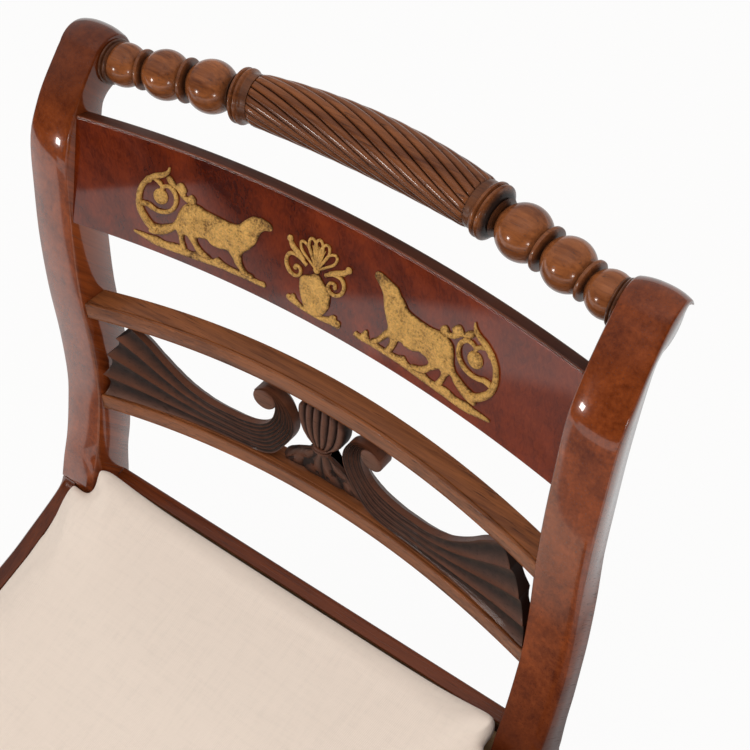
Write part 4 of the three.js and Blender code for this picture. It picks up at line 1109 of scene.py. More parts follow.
def bead_row_piece(name):
    neck = turning().neck_radius
    parts = []
    for place, radius in zip(BALL_PLACES, BALL_RADII):
        middle, along = top_rail_place(place), top_rail_along(place)
        ball = turned("ball", ball_outline(radius, neck), middle, along, 48)
        mark_hollow(smoothed(ball, 60), lambda co, c=middle, a=along, r=radius: ball_painted_shade((co - c) / r, a))
        parts.append(ball)
    for i, radius in enumerate(DISC_RADII):
        middle = (BALL_PLACES[i] + BALL_RADII[i] + BALL_PLACES[i + 1] - BALL_RADII[i + 1]) / 2
        centre = top_rail_place(middle)
        disc = turned("disc", disc_outline(radius, neck, DISC_HALF), centre, top_rail_along(middle), 48)
        # Painted shade: the discs darken from their rims in towards the necks between the balls
        mark_hollow(smoothed(disc, 35), lambda co, c=centre, r=radius: 1.55 - 1.22 * (co - c).length / r)
        parts.append(disc)
    flare = in_mm(reversed(FLARE_OUTLINE))
    collar = turned("flare", flare, top_rail_place(REACH), (1, 0, 0), 40)
    mark_hollow(smoothed(collar, 35), lambda co: 0.62)
    parts.append(collar)
    start = turning().reed_length / 2 + turning().collar_length + CLEARANCE
    end = BALL_PLACES[0] - BALL_RADII[0] - start + 2 * MM
    cove = [
        (0, 0), (0, neck * 1.45), (0.5 * MM, neck * 1.5), (1.0 * MM, neck * 1.3),
        (end, neck * 0.98), (end, 0),
    ]
    inner = turned("cove", cove, top_rail_place(start), top_rail_along(start), 40)
    mark_hollow(smoothed(inner, 35), lambda co: 0.7)
    parts.append(inner)
    return merged(name, *parts)


def splat_rail_section(base, height):
    """Section of a slim rail with a small bead cut along its top front arris, as (t, d)."""
    top = base + height
    deep = splat().rail_depth
    quirk = 2.6 * MM
    bead = 1.3 * MM
    section = softened([(base, 0.0, 0.7 * MM), (base, deep, 1.0 * MM), (top, deep, 1.0 * MM)], 0.8 * MM)
    for down, behind in ((0, 1.1), (0.35, 0.75), (1.3, 0.35), (0.5, -0.1)):
        section.append(Vector((top - down * MM, quirk + behind * MM)))
    for angle in (math.radians(k) for k in range(30, 181, 30)):
        section.append(Vector((top - 0.75 * MM + 0.75 * MM * math.sin(angle), bead + bead * math.cos(angle))))
    return section


# Pairs of points across a carved scroll, from its fan by the stile to the end of its roll:
# upper x and t, then lower x and t, in millimetres.
SCROLL_PAIRS = [
    (155.2, 79.5, 188, 0.5), (143.4, 67.6, 170, 0.5), (133, 55, 150, 0.5), (122, 44, 132, 0.5),
    (112, 36.8, 117, 0.5), (98, 30.4, 100.7, 0.5), (83.6, 27.8, 79.8, 0.5), (70.3, 27.2, 58, 0.5),
    (57, 29.8, 42, 6), (47.6, 34.8, 30, 22), (41.4, 42.5, 23, 36), (38.2, 51, 21.4, 47), (37.2, 58, 23.6, 57),
    (38, 64.5, 28.4, 65.2), (41.4, 68.8, 34.4, 70.2), (46.2, 70.2, 41, 72.2), (50.6, 69.2, 47.4, 71.6),
    (54, 66.6, 54.2, 66.9),
]
ROLL_CENTRE = (46.6 * MM, 60.6 * MM)
# Radius and depth behind the carving's front, in millimetres
ROLL_PROFILE = ((0.01, -0.2), (6.4, -0.2), (8.2, 0.05), (9.0, 0.5), (9.4, 1.4), (9.4, 12.4), (0.01, 12.4))
# How far the fan bulges towards the stile and upwards, over which share of the scroll
FAN_BULGE = (8.6 * MM, 6.3 * MM)
FAN_SHARE = 0.22
FAN_CLEARANCE = 0.9 * MM
SCALLOP = 0.0125


def scroll_edges(s):
    """The upper and the lower edge of a scroll."""
    upper = along_curve([Vector(pair[:2]) for pair in SCROLL_PAIRS], s) * MM
    lower = along_curve([Vector(pair[2:]) for pair in SCROLL_PAIRS], s) * MM
    return upper, lower


def scroll_point(plane, s, q, d):
    """A place on a scroll: s along it, q across it from its upper edge, d behind its front."""
    upper, lower = scroll_edges(s)
    bulge = math.sin(math.pi * q) ** 0.75 * max(0, 1 - s / FAN_SHARE) ** 1.6
    x = min(mix(upper.x, lower.x, q) + FAN_BULGE[0] * bulge, INNER - FAN_CLEARANCE)
    t = mix(upper.y, lower.y, q) + FAN_BULGE[1] * bulge * (1 + 1.6 * (0.5 - q))
    return plane.at(x, min(max(t, 0.3 * MM), splat().splat_height - 0.2 * MM), CARVING_SETBACK + d)


def carved_scroll_piece(name):
    """A fluted band from its fan to its roll, and the round button at the roll's heart."""
    plane = splat_plane()
    flutes = splat().flute_count
    count = flutes * 16
    deep, thin = splat().splat_thickness, splat().splat_edge

    def grooves(q, s):
        """How deep and how dark a scroll is, darkened in its grooves with old wax and painted shade: wide
        flutes at its fan, twice as many fine ones at its roll.
        """
        wide = abs(math.sin(q * flutes * math.pi)) ** 0.85
        fine = abs(math.sin(q * flutes * math.tau)) ** 0.9
        narrow = smooth_step(0.2, 0.42, s)
        fading = 1 - 0.6 * smooth_step(0.86, 1, s)
        depth = wide * mix(splat().flute_depth, 0.5 * MM, smooth_step(0, 0.42, s)) + fine * narrow * 1.25 * MM
        tone = mix(0.9 * wide ** 1.3, 0.1 + 0.8 * fine + 0.1 * wide, narrow)
        return depth * fading, tone

    def back_depth(q, s):
        """The back is cut away towards the edges, so that they look light."""
        upper, lower = scroll_edges(s)
        width = max((upper - lower).length, 1 * MM)
        from_upper = min(1, q * width / (9.5 * MM))
        from_lower = min(1, (1 - q) * width / (7 * MM))
        at_upper = mix(thin, 11 * MM, smooth_step(0.6, 0.72, s))
        at_lower = mix(deep, 8.5 * MM, smooth_step(0.44, 0.52, s) * (1 - smooth_step(0.8, 0.95, s)))
        return min(mix(at_upper, deep, from_upper), mix(at_lower, deep, from_lower))

    def point_at(s, k, d):
        """A point k steps across a scroll, whose end by the stile is scalloped by its flutes."""
        q = k / count
        notch = SCALLOP * abs(math.sin(q * flutes * math.pi)) ** 0.8 if 0 < k < count else 0
        return scroll_point(plane, notch + (1 - notch) * s, q, d)

    def ring_at(s, closing=False, lift=0.0):
        """One ring of the band, and how dark each of its points is; the end by the stile is painted black as
        its shade.
        """
        ring, low = [], []
        for k in range(count + 1):
            q = k / count
            depth, tone = grooves(q, s)
            edge = 0.6 * MM * max(0, 1 - min(q, 1 - q) * count / 1.5)
            front = back_depth(q, s) - 0.05 * MM if closing else depth + edge + lift
            ring.append(point_at(s, k, front))
            low.append(1.0 if closing or lift else tone)
        for k in range(count, -1, -2):
            ring.append(point_at(s, k, back_depth(k / count, s)))
            low.append(0.7 if closing or lift else 0.3)
        return ring, low

    made = [ring_at(0, closing=True), ring_at(0, lift=0.12 * MM)]
    made += [ring_at(max(0.0006, s)) for s in shares(150)]
    rings, hollows = zip(*made)
    band = smoothed(grown("scroll_band", rings), 42)
    paint_from_rings(band, rings, hollows)
    x, t = ROLL_CENTRE
    rings = []
    for radius, d in in_mm(ROLL_PROFILE):
        rings.append([
            plane.at(x + radius * math.cos(a), t + radius * math.sin(a), CARVING_SETBACK + d)
            for a in around(40)
        ])
    roll = smoothed(grown("scroll_roll", rings), 50)
    mark_hollow(roll, lambda co: 0.1)
    return merged(name, band, roll)


# Half widths of the shell in millimetres, by the share of its height
SHELL_WIDTHS = [
    (0, 4.4), (0.06, 7.4), (0.15, 12.4), (0.28, 16.6), (0.5, 19.6), (0.75, 20.6), (0.9, 20.0), (1, 18.6),
]
SHELL_FOOT = 34 * MM
# How far the leaves reach in millimetres, by the angle from straight down
LEAF_REACHES = [
    (0, 34), (14, 34.6), (28, 37.5), (40, 43.5), (47, 50), (52, 44), (57, 38), (60, 30), (63, 15), (70, 10),
    (82, 7.5),
]
LEAF_SPREAD = 82
LEAF_ROOT = 35 * MM
# Drilled hollows between the leaves: x, t and radius in millimetres
DRILLED = [(9.6, 14.0, 2.3), (27.5, 6.0, 1.9), (5.0, 5.2, 1.2), (17.0, 7.0, 1.4), (36.5, 2.4, 1.5)]
# The two rings that bind shell and leaves: t and half width in millimetres
BINDINGS = ((33.2, 7.4), (36.3, 6.6))
BINDING_RADIUS = 1.35 * MM


def shell_part(plane):
    ribs = splat().shell_ribs
    count = ribs * 10
    halves = [Vector((w, 0)) for _, w in SHELL_WIDTHS]
    rings, lows = [], []
    for v in shares(26):
        row, share = table_row(SHELL_WIDTHS, v)
        half = along_curve(halves, (row + share) / (len(SHELL_WIDTHS) - 1)).x * MM
        roll_back = smooth_step(0.86, 1, v)
        rise = mix(1.4, 4.4, v) * MM
        front, hollow = [], []
        for k in range(count + 1):
            u = k / count * 2 - 1
            lobe = abs(math.sin((u + 1) / 2 * ribs * math.pi))
            t = SHELL_FOOT + v * (46.5 * MM - 7.5 * MM * u * u * v) - (1 - lobe ** 0.5) * 3.0 * MM * v ** 3
            dome = 2.4 * MM * math.sin(math.pi * min(1, v * 0.9 + 0.12)) * (1 - u * u)
            d = rise * (1 - lobe ** 0.6) + 3.2 * MM - dome + 7.5 * MM * roll_back ** 2
            front.append(plane.at(half * u, min(t, splat().splat_height - 0.3 * MM), CARVING_SETBACK + d))
            # Old wax and painted shade: darker between the lobes and where the shell rolls back
            hollow.append((1 - lobe ** 0.7) * 1.3 + 0.35 * roll_back)
        deep = CARVING_SETBACK + splat().splat_thickness
        across = (1, 0.5, 0, -0.5, -1)
        back = [plane.at(half * u, SHELL_FOOT + v * (45 * MM - 7.5 * MM * u * u * v), deep) for u in across]
        rings.append(front + back)
        lows.append(hollow + [0.5] * len(back))
    shell = smoothed(grown("shell", rings), 50)
    paint_from_rings(shell, rings, lows)
    return shell


def leaf_place(angle, rho):
    """The x and t of a point on the leaves, at a share of their reach."""
    row, share = table_row(LEAF_REACHES, abs(angle))
    r = mix(LEAF_REACHES[row][1], LEAF_REACHES[row + 1][1], share) * MM * rho
    return r * math.sin(math.radians(angle)), LEAF_ROOT - r * math.cos(math.radians(angle))


def leaves_part(plane):
    """Leaves that spread from the shell's foot down to the lower rail."""
    rings, lows = [], []
    for rho in (mix(0.04, 1, s) for s in shares(14)):
        front, hollow = [], []
        for angle in (mix(-LEAF_SPREAD, LEAF_SPREAD, s) for s in shares(84)):
            x, t = leaf_place(angle, rho)
            fold = abs(math.sin(math.radians(angle) * 6.2))
            vein = 1.6 * MM * (1 - fold ** 0.7) * smooth_step(0.12, 0.5, rho)
            swell = 2.2 * MM * math.sin(math.pi * min(1, rho * 1.05))
            swell *= 0.6 + 0.4 * math.cos(math.radians(angle) * 5)
            ruffle = 0.9 * MM * math.sin(rho * 15 + abs(angle) * 0.11) * smooth_step(12, 40, abs(angle))
            d = 5.2 * MM + vein - swell + ruffle
            hole = 0.0
            for hole_x, hole_t, radius in DRILLED:
                away = math.hypot(abs(x) - hole_x * MM, t - hole_t * MM) / (radius * MM)
                if away < 1.5:
                    cut = 1 - smooth_step(0.75, 1.3, away)
                    d += 5 * MM * cut
                    hole = max(hole, cut)
            front.append(plane.at(x, max(t, 0.3 * MM), CARVING_SETBACK + min(d, 14 * MM)))
            # Old wax and painted shade: darker in the drilled holes, between the folds and at the leaves' rim
            hollow.append(max(hole * 1.6, (1 - fold ** 0.6) * 0.9 + 0.2, 0.75 * smooth_step(0.8, 1, rho)))
        back = []
        for s in (1, 0.75, 0.5, 0.25, 0):
            x, t = leaf_place(mix(-LEAF_SPREAD, LEAF_SPREAD, s), rho)
            back.append(plane.at(x, max(t, 0.3 * MM), CARVING_SETBACK + splat().splat_thickness - 0.5 * MM))
        rings.append(front + back)
        lows.append(hollow + [0.5] * len(back))
    leaves = smoothed(grown("leaves", rings), 55)
    paint_from_rings(leaves, rings, lows)
    return leaves


def carved_shell_piece():
    plane = splat_plane()
    parts = [shell_part(plane), leaves_part(plane)]
    for t, half in BINDINGS:
        rings = []
        for angle in (math.pi * s for s in shares(12)):
            x = math.cos(angle) * half * MM
            d = CARVING_SETBACK + 5.2 * MM - math.sin(angle) * 3.6 * MM
            rings.append([
                plane.at(x, t * MM + BINDING_RADIUS * math.cos(a), d - BINDING_RADIUS * math.sin(a))
                for a in around(10)
            ])
        band = smoothed(grown("binding", rings), 60)
        parts.append(mark_hollow(band, lambda co: 0.25))
    return merged("carved_shell_and_leaves", *parts)


def paint_from_rings(piece, rings, lows):
    known = {}
    for ring, low in zip(rings, lows):
        for point, value in zip(ring, low):
            known[tuple(round(c, 5) for c in point)] = value
    layer = piece.data.attributes.new("hollow", "FLOAT", "POINT")
    for vert in piece.data.vertices:
        layer.data[vert.index].value = min(1.0, max(0.0, known.get(tuple(round(c, 5) for c in vert.co), 0.3)))


# Brass mounts. Outlines in millimetres on the tablet: x from the middle, t up from its lower edge.

# Rump, hind legs and belly, which both beasts share
HINDQUARTERS = [
    (107.9, 32.8), (110.1, 28.5), (113.7, 26.2), (120.2, 23.3), (125, 22.2), (128.6, 17.6), (127.9, 15),
    (123.3, 15), (116.6, 17.2), (110.9, 21.1), (107.8, 24.0), (105.6, 21.2), (104.2, 17), (102.4, 11.8),
    (98.4, 12.4), (100.6, 17.4), (101.4, 21.6), (99.2, 23.2), (96.3, 20.9), (93.2, 17.9), (88.6, 13.2),
    (80.3, 12.4), (79.6, 14.3), (85.1, 16.4), (89.6, 20), (91.3, 23.2), (88.6, 25.3), (83.2, 26), (80, 24.2),
    (76.8, 23.6), (72.6, 23.7),
]
LEFT_BEAST = [
    (35.7, 54.7), (38.2, 56.4), (41.5, 56.9), (44.6, 57.2), (47.4, 56.6), (50.2, 56.1), (52.4, 54.6),
    (55, 52.2), (57.6, 49.4), (60.9, 46), (65.9, 44.7), (70.8, 44.8), (75.7, 45.2), (81.4, 45.6),
    (87.1, 46.2), (90.6, 47.3), (94, 47.6), (98, 46.8), (102, 44.8), (105.9, 39.2), *HINDQUARTERS,
    (68.6, 24.8), (66.3, 24.6), (62, 21.1), (60.1, 18.4), (56.7, 15.6), (53.3, 12.6), (45.2, 12.6),
    (45.7, 14.9), (51.3, 15.9), (54.6, 19.9), (56.0, 24.9), (54.3, 28.4), (51.3, 31.3), (48.9, 34.3),
    (46.9, 37.3), (45.9, 39.8), (45.3, 42.1), (44.4, 44.6), (43.4, 46.9), (41.8, 48.9), (40.2, 50.3),
    (38.1, 51.0), (36.1, 51.8), (35.2, 53.1),
]
RIGHT_BEAST = [
    (43.1, 59.1), (43.8, 60.9), (45.4, 61.7), (49.6, 61.2), (54.8, 59.6), (58.6, 58.6), (60.9, 57.5),
    (63.3, 54.3), (67.2, 51), (70.4, 47.8), (77.3, 46.3), (86.4, 45.8), (92, 46.6), (95.2, 47.2), (100, 46.2),
    (104.7, 43.4), (106.7, 38.6), *HINDQUARTERS, (69.6, 24.8), (67.3, 23.6), (66.2, 19.6), (64.8, 15.6),
    (63.2, 12.4), (58.6, 12.4), (60.4, 16.8), (61.6, 20.6), (61.0, 23.3), (58.4, 21.0), (55.7, 17),
    (52.1, 13.6), (48.6, 12.6), (47.4, 14.4), (50.1, 16.4), (53.6, 20.6), (56.2, 25.2), (58.4, 28.4),
    (58.0, 31.4), (55.8, 35.8), (53.6, 40.4), (52.4, 44.8), (50.9, 49.5), (48.2, 53.0), (45.4, 55.6),
    (43.4, 57.2),
]
GROUND_STRIP = [
    (35.7, 10.2), (48.3, 10.0), (60, 9.6), (71.3, 9.4), (86.4, 8.2), (105.6, 7.2), (122.5, 6.9), (132.8, 9.2),
    (139.6, 10.7), (140.4, 12.4), (134.2, 12.9), (128.4, 12.9), (122, 13.6), (115.3, 12.4), (107.7, 13.8),
    (101, 13.3), (94.5, 12.6), (89.3, 14.2), (83, 13.2), (77.1, 14.0), (73.6, 16.6), (70.4, 15.4),
    (67.2, 14.4), (60.2, 13.8), (53, 14.1), (46.4, 13.9), (40.4, 13.5), (36.2, 13.9),
]
LEAF_CLUSTER = [
    (94.3, 49.4), (95.0, 51.3), (97.4, 52.9), (99.4, 52.2), (101.2, 50.4), (102.8, 51.4), (102.0, 54.0),
    (103.4, 56.4), (106.2, 58.6), (108.8, 57.6), (110.4, 55.8), (112.4, 58.0), (116.4, 60.6), (118.0, 58.0),
    (115.8, 54.8), (112.6, 53.2), (109.6, 52.4), (107.4, 50.2), (105.0, 48.2), (101.2, 46.6), (97.4, 45.6),
    (95.0, 46.8),
]
TAIL_RING = [
    (122.0, 18.8, 2.7), (127.6, 20.6, 2.6), (132.4, 24.6, 2.5), (136.2, 29.6, 2.3), (137.9, 35.4, 2.1),
    (137.6, 42.0, 2.0), (135.6, 48.2, 1.9), (131.4, 53.4, 1.9), (126.0, 57.2, 2.0), (120.8, 59.6, 1.8),
    (117.4, 62.6, 1.3), (116.2, 66.4, 0.5),
]
TAIL_CURL = [
    (136.0, 34.4, 1.9), (130.6, 34.9, 1.7), (126.2, 33.4, 1.5), (121.6, 32.9, 1.5), (116.6, 34.0, 1.5),
    (112.6, 36.6, 1.5), (110.0, 40.6, 1.5), (109.2, 45.2, 1.5), (110.6, 49.6, 1.5), (114.2, 52.6, 1.4),
    (118.2, 52.4, 1.3), (121.4, 49.8, 1.2),
]
RING_LEAF = [(127.8, 55.4, 1.2), (123.4, 53.6, 1.4), (120.6, 51.0, 1.2), (119.6, 48.0, 0.6)]
BERRY = (121.6, 43.6, 5.6)
ROCK = [(36.8, 9.6), (39.4, 12.6), (42.6, 18.2), (44.6, 18.6), (45.8, 15.8), (46.4, 12.8), (42, 10.6)]
CASTING_EDGE = 0.42
RING_KNOBS = [(131.6, 53.0, 2.5), (137.4, 34.2, 2.4), (112.2, 52.2, 1.5), (102.4, 49.0, 1.4)]


def inside(loop, x, y):
    """Is a point inside a closed loop?"""
    hit = False
    for i in range(len(loop)):
        a, b = loop[i - 1], loop[i]
        if (a[1] > y) != (b[1] > y) and x < (b[0] - a[0]) * (y - a[1]) / (b[1] - a[1]) + a[0]:
            hit = not hit
    return hit


def casting(name, outline, plane, rise, spacing, side=1, ridges=None):
    """A domed casting over an outline: high in the middle, thin and rounded at its edge."""
    loop = closed_curve(outline, 4)
    edge = np.array([(p.x, p.y) for p in loop])
    nxt = np.roll(edge, -1, axis=0)
    run = nxt - edge
    length = np.maximum((run ** 2).sum(1), 1e-9)

    def from_edge(x, y):
        w = np.clip(((x - edge[:, 0]) * run[:, 0] + (y - edge[:, 1]) * run[:, 1]) / length, 0, 1)
        near = edge + run * w[:, None]
        return float(np.sqrt(((near - (x, y)) ** 2).sum(1)).min())

    points = list(loop)
    low, high = edge.min(0), edge.max(0)
    for row in range(int((high[1] - low[1]) / spacing) + 1):
        for column in range(int((high[0] - low[0]) / spacing) + 1):
            x = low[0] + (column + 0.5 * (row % 2)) * spacing
            y = low[1] + row * spacing * 0.87
            if inside(edge, x, y) and from_edge(x, y) > spacing * 0.5:
                points.append(Vector((x, y)))
    ring = [(i, (i + 1) % len(loop)) for i in range(len(loop))]
    verts, _, faces, _, _, _ = delaunay_2d_cdt([Vector((p.x, p.y)) for p in points], ring, [], 1, 0.0001)
    shell = bmesh.new()
    hollow = shell.verts.layers.float.new("hollow")
    tops = []
    border = len(loop)
    for i, point in enumerate(verts):
        away = 0.0 if i < border else from_edge(point.x, point.y)
        dome = 1 - math.exp(-away / 1.5)
        bulk = noise.noise(Vector((point.x * 0.16, point.y * 0.16, 3.1))) * 0.3
        bulk += noise.noise(Vector((point.x * 0.45, point.y * 0.45, 8.2))) * 0.2
        height = rise * (mix(CASTING_EDGE, 1, dome) + bulk * dome)
        if ridges:
            height += ridges(point.x, point.y) * dome
        vert = shell.verts.new(plane.at(side * point.x * MM, point.y * MM, -height))
        vert[hollow] = max(0.0, 0.32 - 0.34 * min(1, away / 1.6)) - min(0, bulk) * 0.6
        tops.append(vert)
    for face in faces:
        shell.faces.new([tops[i] for i in face])
    bmesh.ops.recalc_face_normals(shell, faces=shell.faces)
    rim = [edge_of for edge_of in shell.edges if len(edge_of.link_faces) == 1]
    made = bmesh.ops.extrude_edge_only(shell, edges=rim)
    lowered = [item for item in made["geom"] if isinstance(item, bmesh.types.BMVert)]
    back = plane.at(0, 0, 0) - plane.at(0, 0, -rise * CASTING_EDGE + 0.05 * MM)
    for vert in lowered:
        vert.co += back
        vert[hollow] = 0.75
    bmesh.ops.holes_fill(shell, edges=[e for e in shell.edges if len(e.link_faces) == 1])
    bmesh.ops.recalc_face_normals(shell, faces=shell.faces)
    mesh = bpy.data.meshes.new(name)
    shell.to_mesh(mesh)
    shell.free()
    piece = bpy.data.objects.new(name, mesh)
    bpy.context.collection.objects.link(piece)
    return smoothed(piece, 65)


def stem(name, route, plane, side=1):
    """A cast stem that follows a route of (x, t, half width)."""
    points = [Vector(place) for place in route]
    count = (len(points) - 1) * 5
    samples = [along_curve(points, s) for s in shares(count)]
    rings = []
    for i, point in enumerate(samples):
        a, b = samples[max(i - 1, 0)], samples[min(i + 1, count)]
        run = Vector((b.x - a.x, b.y - a.y)).normalized()
        across = Vector((-run.y, run.x))
        ring = []
        for angle in around(10):
            off = across * (point.z * math.cos(angle))
            out = point.z * 0.85 * math.sin(angle)
            ring.append(plane.at(side * (point.x + off.x) * MM, (point.y + off.y) * MM, -(out + 0.75) * MM))
        rings.append(ring)
    return mark_hollow(smoothed(grown(name, rings), 60), lambda co: 0.08)


def knob(name, x, t, radius, plane, side=1, depth=0.0, height=0.7):
    """A small domed boss."""
    rings = []
    for angle in (s * math.pi / 2 for s in shares(6)):
        r = radius * max(0.02, math.cos(angle))
        out = radius * height * math.sin(angle)
        rings.append([
            plane.at(side * (x + r * math.cos(a)) * MM, (t + r * math.sin(a)) * MM, -depth - (out + 0.3) * MM)
            for a in around(18)
        ])
    return mark_hollow(smoothed(grown(name, rings), 60), lambda co: 0.05)


# Middle, radius and height of each swelling or hollow of a beast's body, in millimetres
MUSCLES = ((60, 36, 8, 0.9), (99, 35, 9, 1.0), (47, 51, 4.5, 0.5), (80, 30, 7, -0.3), (54, 47, 3, -0.25))


def muscles(x, y):
    """Soft relief of a beast's shoulder, haunch and flank."""
    return MM * sum(
        high * math.exp(-((x - middle_x) ** 2 + (y - middle_y) ** 2) / radius ** 2)
        for middle_x, middle_y, radius, high in MUSCLES
    )


def beast_piece(name, outline, side):
    plane = tablet_plane()
    rise = splat().mount_rise
    parts = [
        casting("body", outline, plane, rise, 0.95, side, muscles),
        casting("ground", GROUND_STRIP, plane, rise * 0.62, 1.0, side),
        casting("leaves", LEAF_CLUSTER, plane, rise * 0.8, 0.8, side),
        stem("ring", TAIL_RING, plane, side),
        stem("curl", TAIL_CURL, plane, side),
        stem("ring_leaf", RING_LEAF, plane, side),
        knob("berry", *BERRY, plane, side, height=0.42),
    ]
    for x, t, radius in RING_KNOBS:
        parts.append(knob("knob", x, t, radius, plane, side, 0.3 * MM))
    if side > 0:
        parts.append(casting("rock", ROCK, plane, rise * 0.7, 1.0, side))
    return merged(name, *parts)


PALMETTE_BODY = [
    (-2.7, 10.2), (-5.6, 13.6), (-8.4, 19.6), (-9.9, 25.0), (-9.9, 30.4), (-7.0, 33.4), (-3.4, 35.0),
    (0.5, 37.8), (4.0, 37.2), (7.6, 33.8), (11.4, 31.6), (13.4, 28.4), (14.0, 22.6), (13.4, 17.6),
    (9.8, 11.6), (4.3, 8.2), (0.6, 8.4),
]
PALMETTE_FOOT = [
    (-17.4, 11.0), (-15.6, 14.6), (-13.0, 16.6), (-10.6, 14.0), (-7.6, 12.2), (-3.6, 11.2), (2.6, 10.4),
    (9.4, 11.2), (14.4, 13.2), (18.0, 16.2), (20.2, 14.6), (23.9, 13.0), (23.6, 9.0), (16.4, 8.4), (7.6, 7.6),
    (-3.0, 8.0), (-11.6, 9.2),
]
PETAL_TIPS = [(-12.6, 55.2), (-5.6, 60.4), (0.6, 61.8), (6.9, 60.8), (14.2, 56.4)]
VOLUTES = [
    [
        (-6.4, 40.6, 1.3), (-12.0, 43.8, 1.3), (-18.2, 44.2, 1.3), (-21.6, 40.8, 1.3), (-21.4, 35.2, 1.3),
        (-18.2, 31.0, 1.25), (-13.6, 29.9, 1.2), (-10.4, 32.6, 1.15), (-11.0, 36.4, 1.1), (-14.2, 37.2, 1.0),
        (-15.4, 34.8, 0.9),
    ],
    [
        (8.2, 40.4, 1.3), (13.4, 43.4, 1.3), (19.4, 43.6, 1.3), (22.6, 39.8, 1.3), (22.0, 34.2, 1.3),
        (18.2, 30.6, 1.25), (13.6, 30.4, 1.2), (11.2, 33.8, 1.1), (12.8, 37.2, 1.05), (16.2, 37.2, 1.0),
        (16.8, 34.6, 0.9),
    ],
]
SIDE_SPRAYS = [
    [(-9.0, 43.0, 1.4), (-13.4, 46.2, 1.6), (-17.2, 48.2, 1.8), (-19.6, 50.6, 1.6), (-21.2, 53.6, 1.2)],
    [(11.0, 42.8, 1.4), (15.6, 45.6, 1.6), (19.6, 47.4, 1.8), (22.4, 49.4, 1.6), (24.4, 51.6, 1.2)],
]
PALMETTE_KNOBS = [
    (-21.2, 53.4, 2.2), (24.2, 51.6, 2.3), (1.2, 40.8, 2.5), (-14.6, 35.2, 1.5), (16.2, 35.2, 1.5),
    (-18.4, 48.6, 1.9), (20.8, 47.8, 1.9), (-16.6, 13.0, 1.8), (22.4, 12.0, 1.9), (19.4, 14.8, 1.4),
]
PETAL_ROOT = (1.2, 40.6)
PETAL_HALF = 3.1
# Share of a petal's length, share of its half width, and half width of the stem
PETAL_STEM = ((0.4, 0.62, 0.85), (0.72, 1, 0.95), (0.93, 0.6, 0.95))


def palmette_piece():
    plane = tablet_plane()
    rise = splat().mount_rise
    root = Vector(PETAL_ROOT)
    parts = [
        casting("urn", PALMETTE_BODY, plane, rise * 0.95, 0.8),
        casting("foot", PALMETTE_FOOT, plane, rise * 0.62, 0.8),
    ]
    for number, tip in enumerate(PETAL_TIPS):
        end = Vector(tip)
        run = end - root
        across = Vector((-run.y, run.x)).normalized()
        for side in (-1, 1):
            route = [(*root, 0.8)]
            for along, out, wide in PETAL_STEM:
                route.append((*(root + run * along + across * side * PETAL_HALF * out), wide))
            route.append((*(end + across * side * 0.1), 0.9))
            parts.append(stem("petal", route, plane))
        if 0 < number < len(PETAL_TIPS) - 1:
            rib = [(*root, 0.7), (*(root + run * 0.5), 0.5), (*(root + run * 0.78), 0.3)]
            parts.append(stem("rib", rib, plane))
    for route in VOLUTES + SIDE_SPRAYS:
        parts.append(stem("volute", route, plane))
    for x, t, radius in PALMETTE_KNOBS:
        parts.append(knob("knob", x, t, radius, plane, 1, 0.25 * MM))
    return merged("brass_palmette_casting", *parts)


# The seat

CLOTH_FRAMES = 20
CUSHION_RISE = 1.5 * MM
# Where the cover rises highest in front of a stile, and how far around
RISE_PLACE = (196 * MM, 84 * MM)
RISE_RADIUS = 44 * MM
STILE_CLEARANCE = 0.9 * MM


def points_of(piece):
    points = np.empty(len(piece.data.vertices) * 3)
    piece.data.vertices.foreach_get("co", points)
    return points.reshape(-1, 3)


def move_points(piece, points):
    """Fit the cover to the chair and move a piece's points there."""
    fit_to_stiles(points)
    piece.data.vertices.foreach_set("co", points.reshape(-1))
    piece.data.update()


def filled(piece, points):
    """Let pressure swell the cushion, up to a limit."""
    seat = bpy.context.scene.seat_sizes
    cloth = piece.modifiers.new("Filling", "CLOTH")
    cloth.settings.use_pressure = True
    cloth.settings.uniform_pressure_force = seat.pressure
    cloth.settings.quality = 5
    cloth.settings.mass = 0.3
    cloth.settings.tension_stiffness = 40
    cloth.settings.compression_stiffness = 40
    cloth.settings.bending_stiffness = 4
    cloth.settings.effector_weights.gravity = 0
    cloth.point_cache.frame_start = 1
    cloth.point_cache.frame_end = CLOTH_FRAMES
    for number in range(1, CLOTH_FRAMES + 1):
        bpy.context.scene.frame_set(number)
    swollen = points_of(piece.evaluated_get(bpy.context.evaluated_depsgraph_get()))
    piece.modifiers.remove(cloth)
    bpy.context.scene.frame_set(1)
    move = swollen - points
    length = np.linalg.norm(move, axis=1, keepdims=True)
    return points + move * np.minimum(1, seat.cap / np.maximum(length, 1e-9))


def cushion_piece():
    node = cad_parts["seat_cushion"]
    piece = node.copy()
    piece.data = node.data.copy()
    piece.name = "seat_cushion_cover"
    piece.data.name = "seat_cushion_cover"
    for key in list(piece.keys()):
        del piece[key]
    piece.parent = None
    piece.matrix_world = Matrix.Identity(4)
    bpy.context.collection.objects.link(piece)
    tidied(piece, CUSHION_MERGE)
    seat = bpy.context.scene.seat_sizes
    modify(piece, "DISPLACE", strength=-seat.shrink * 0.2, mid_level=0)
    modify(piece, "REMESH", mode="VOXEL", voxel_size=seat.voxel, use_smooth_shade=True)
    points = points_of(piece)
    points = filled(piece, points)
    low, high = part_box("seat_cushion")
    points[:, 2] = np.clip(points[:, 2], low.z, high.z + CUSHION_RISE)
    fill_out(points)
    move_points(piece, points)
    modify(piece, "SMOOTH", factor=0.5, iterations=3)
    points = points_of(piece)
    fill_out(points, 0.25)
    move_points(piece, points)
    modify(piece, "SUBSURF", levels=1, render_levels=1)
    smoothed(piece, 80)
    fitted(piece, linen(), SEAT_BODY, "cream_cloth", "seat_cushion")
    return piece


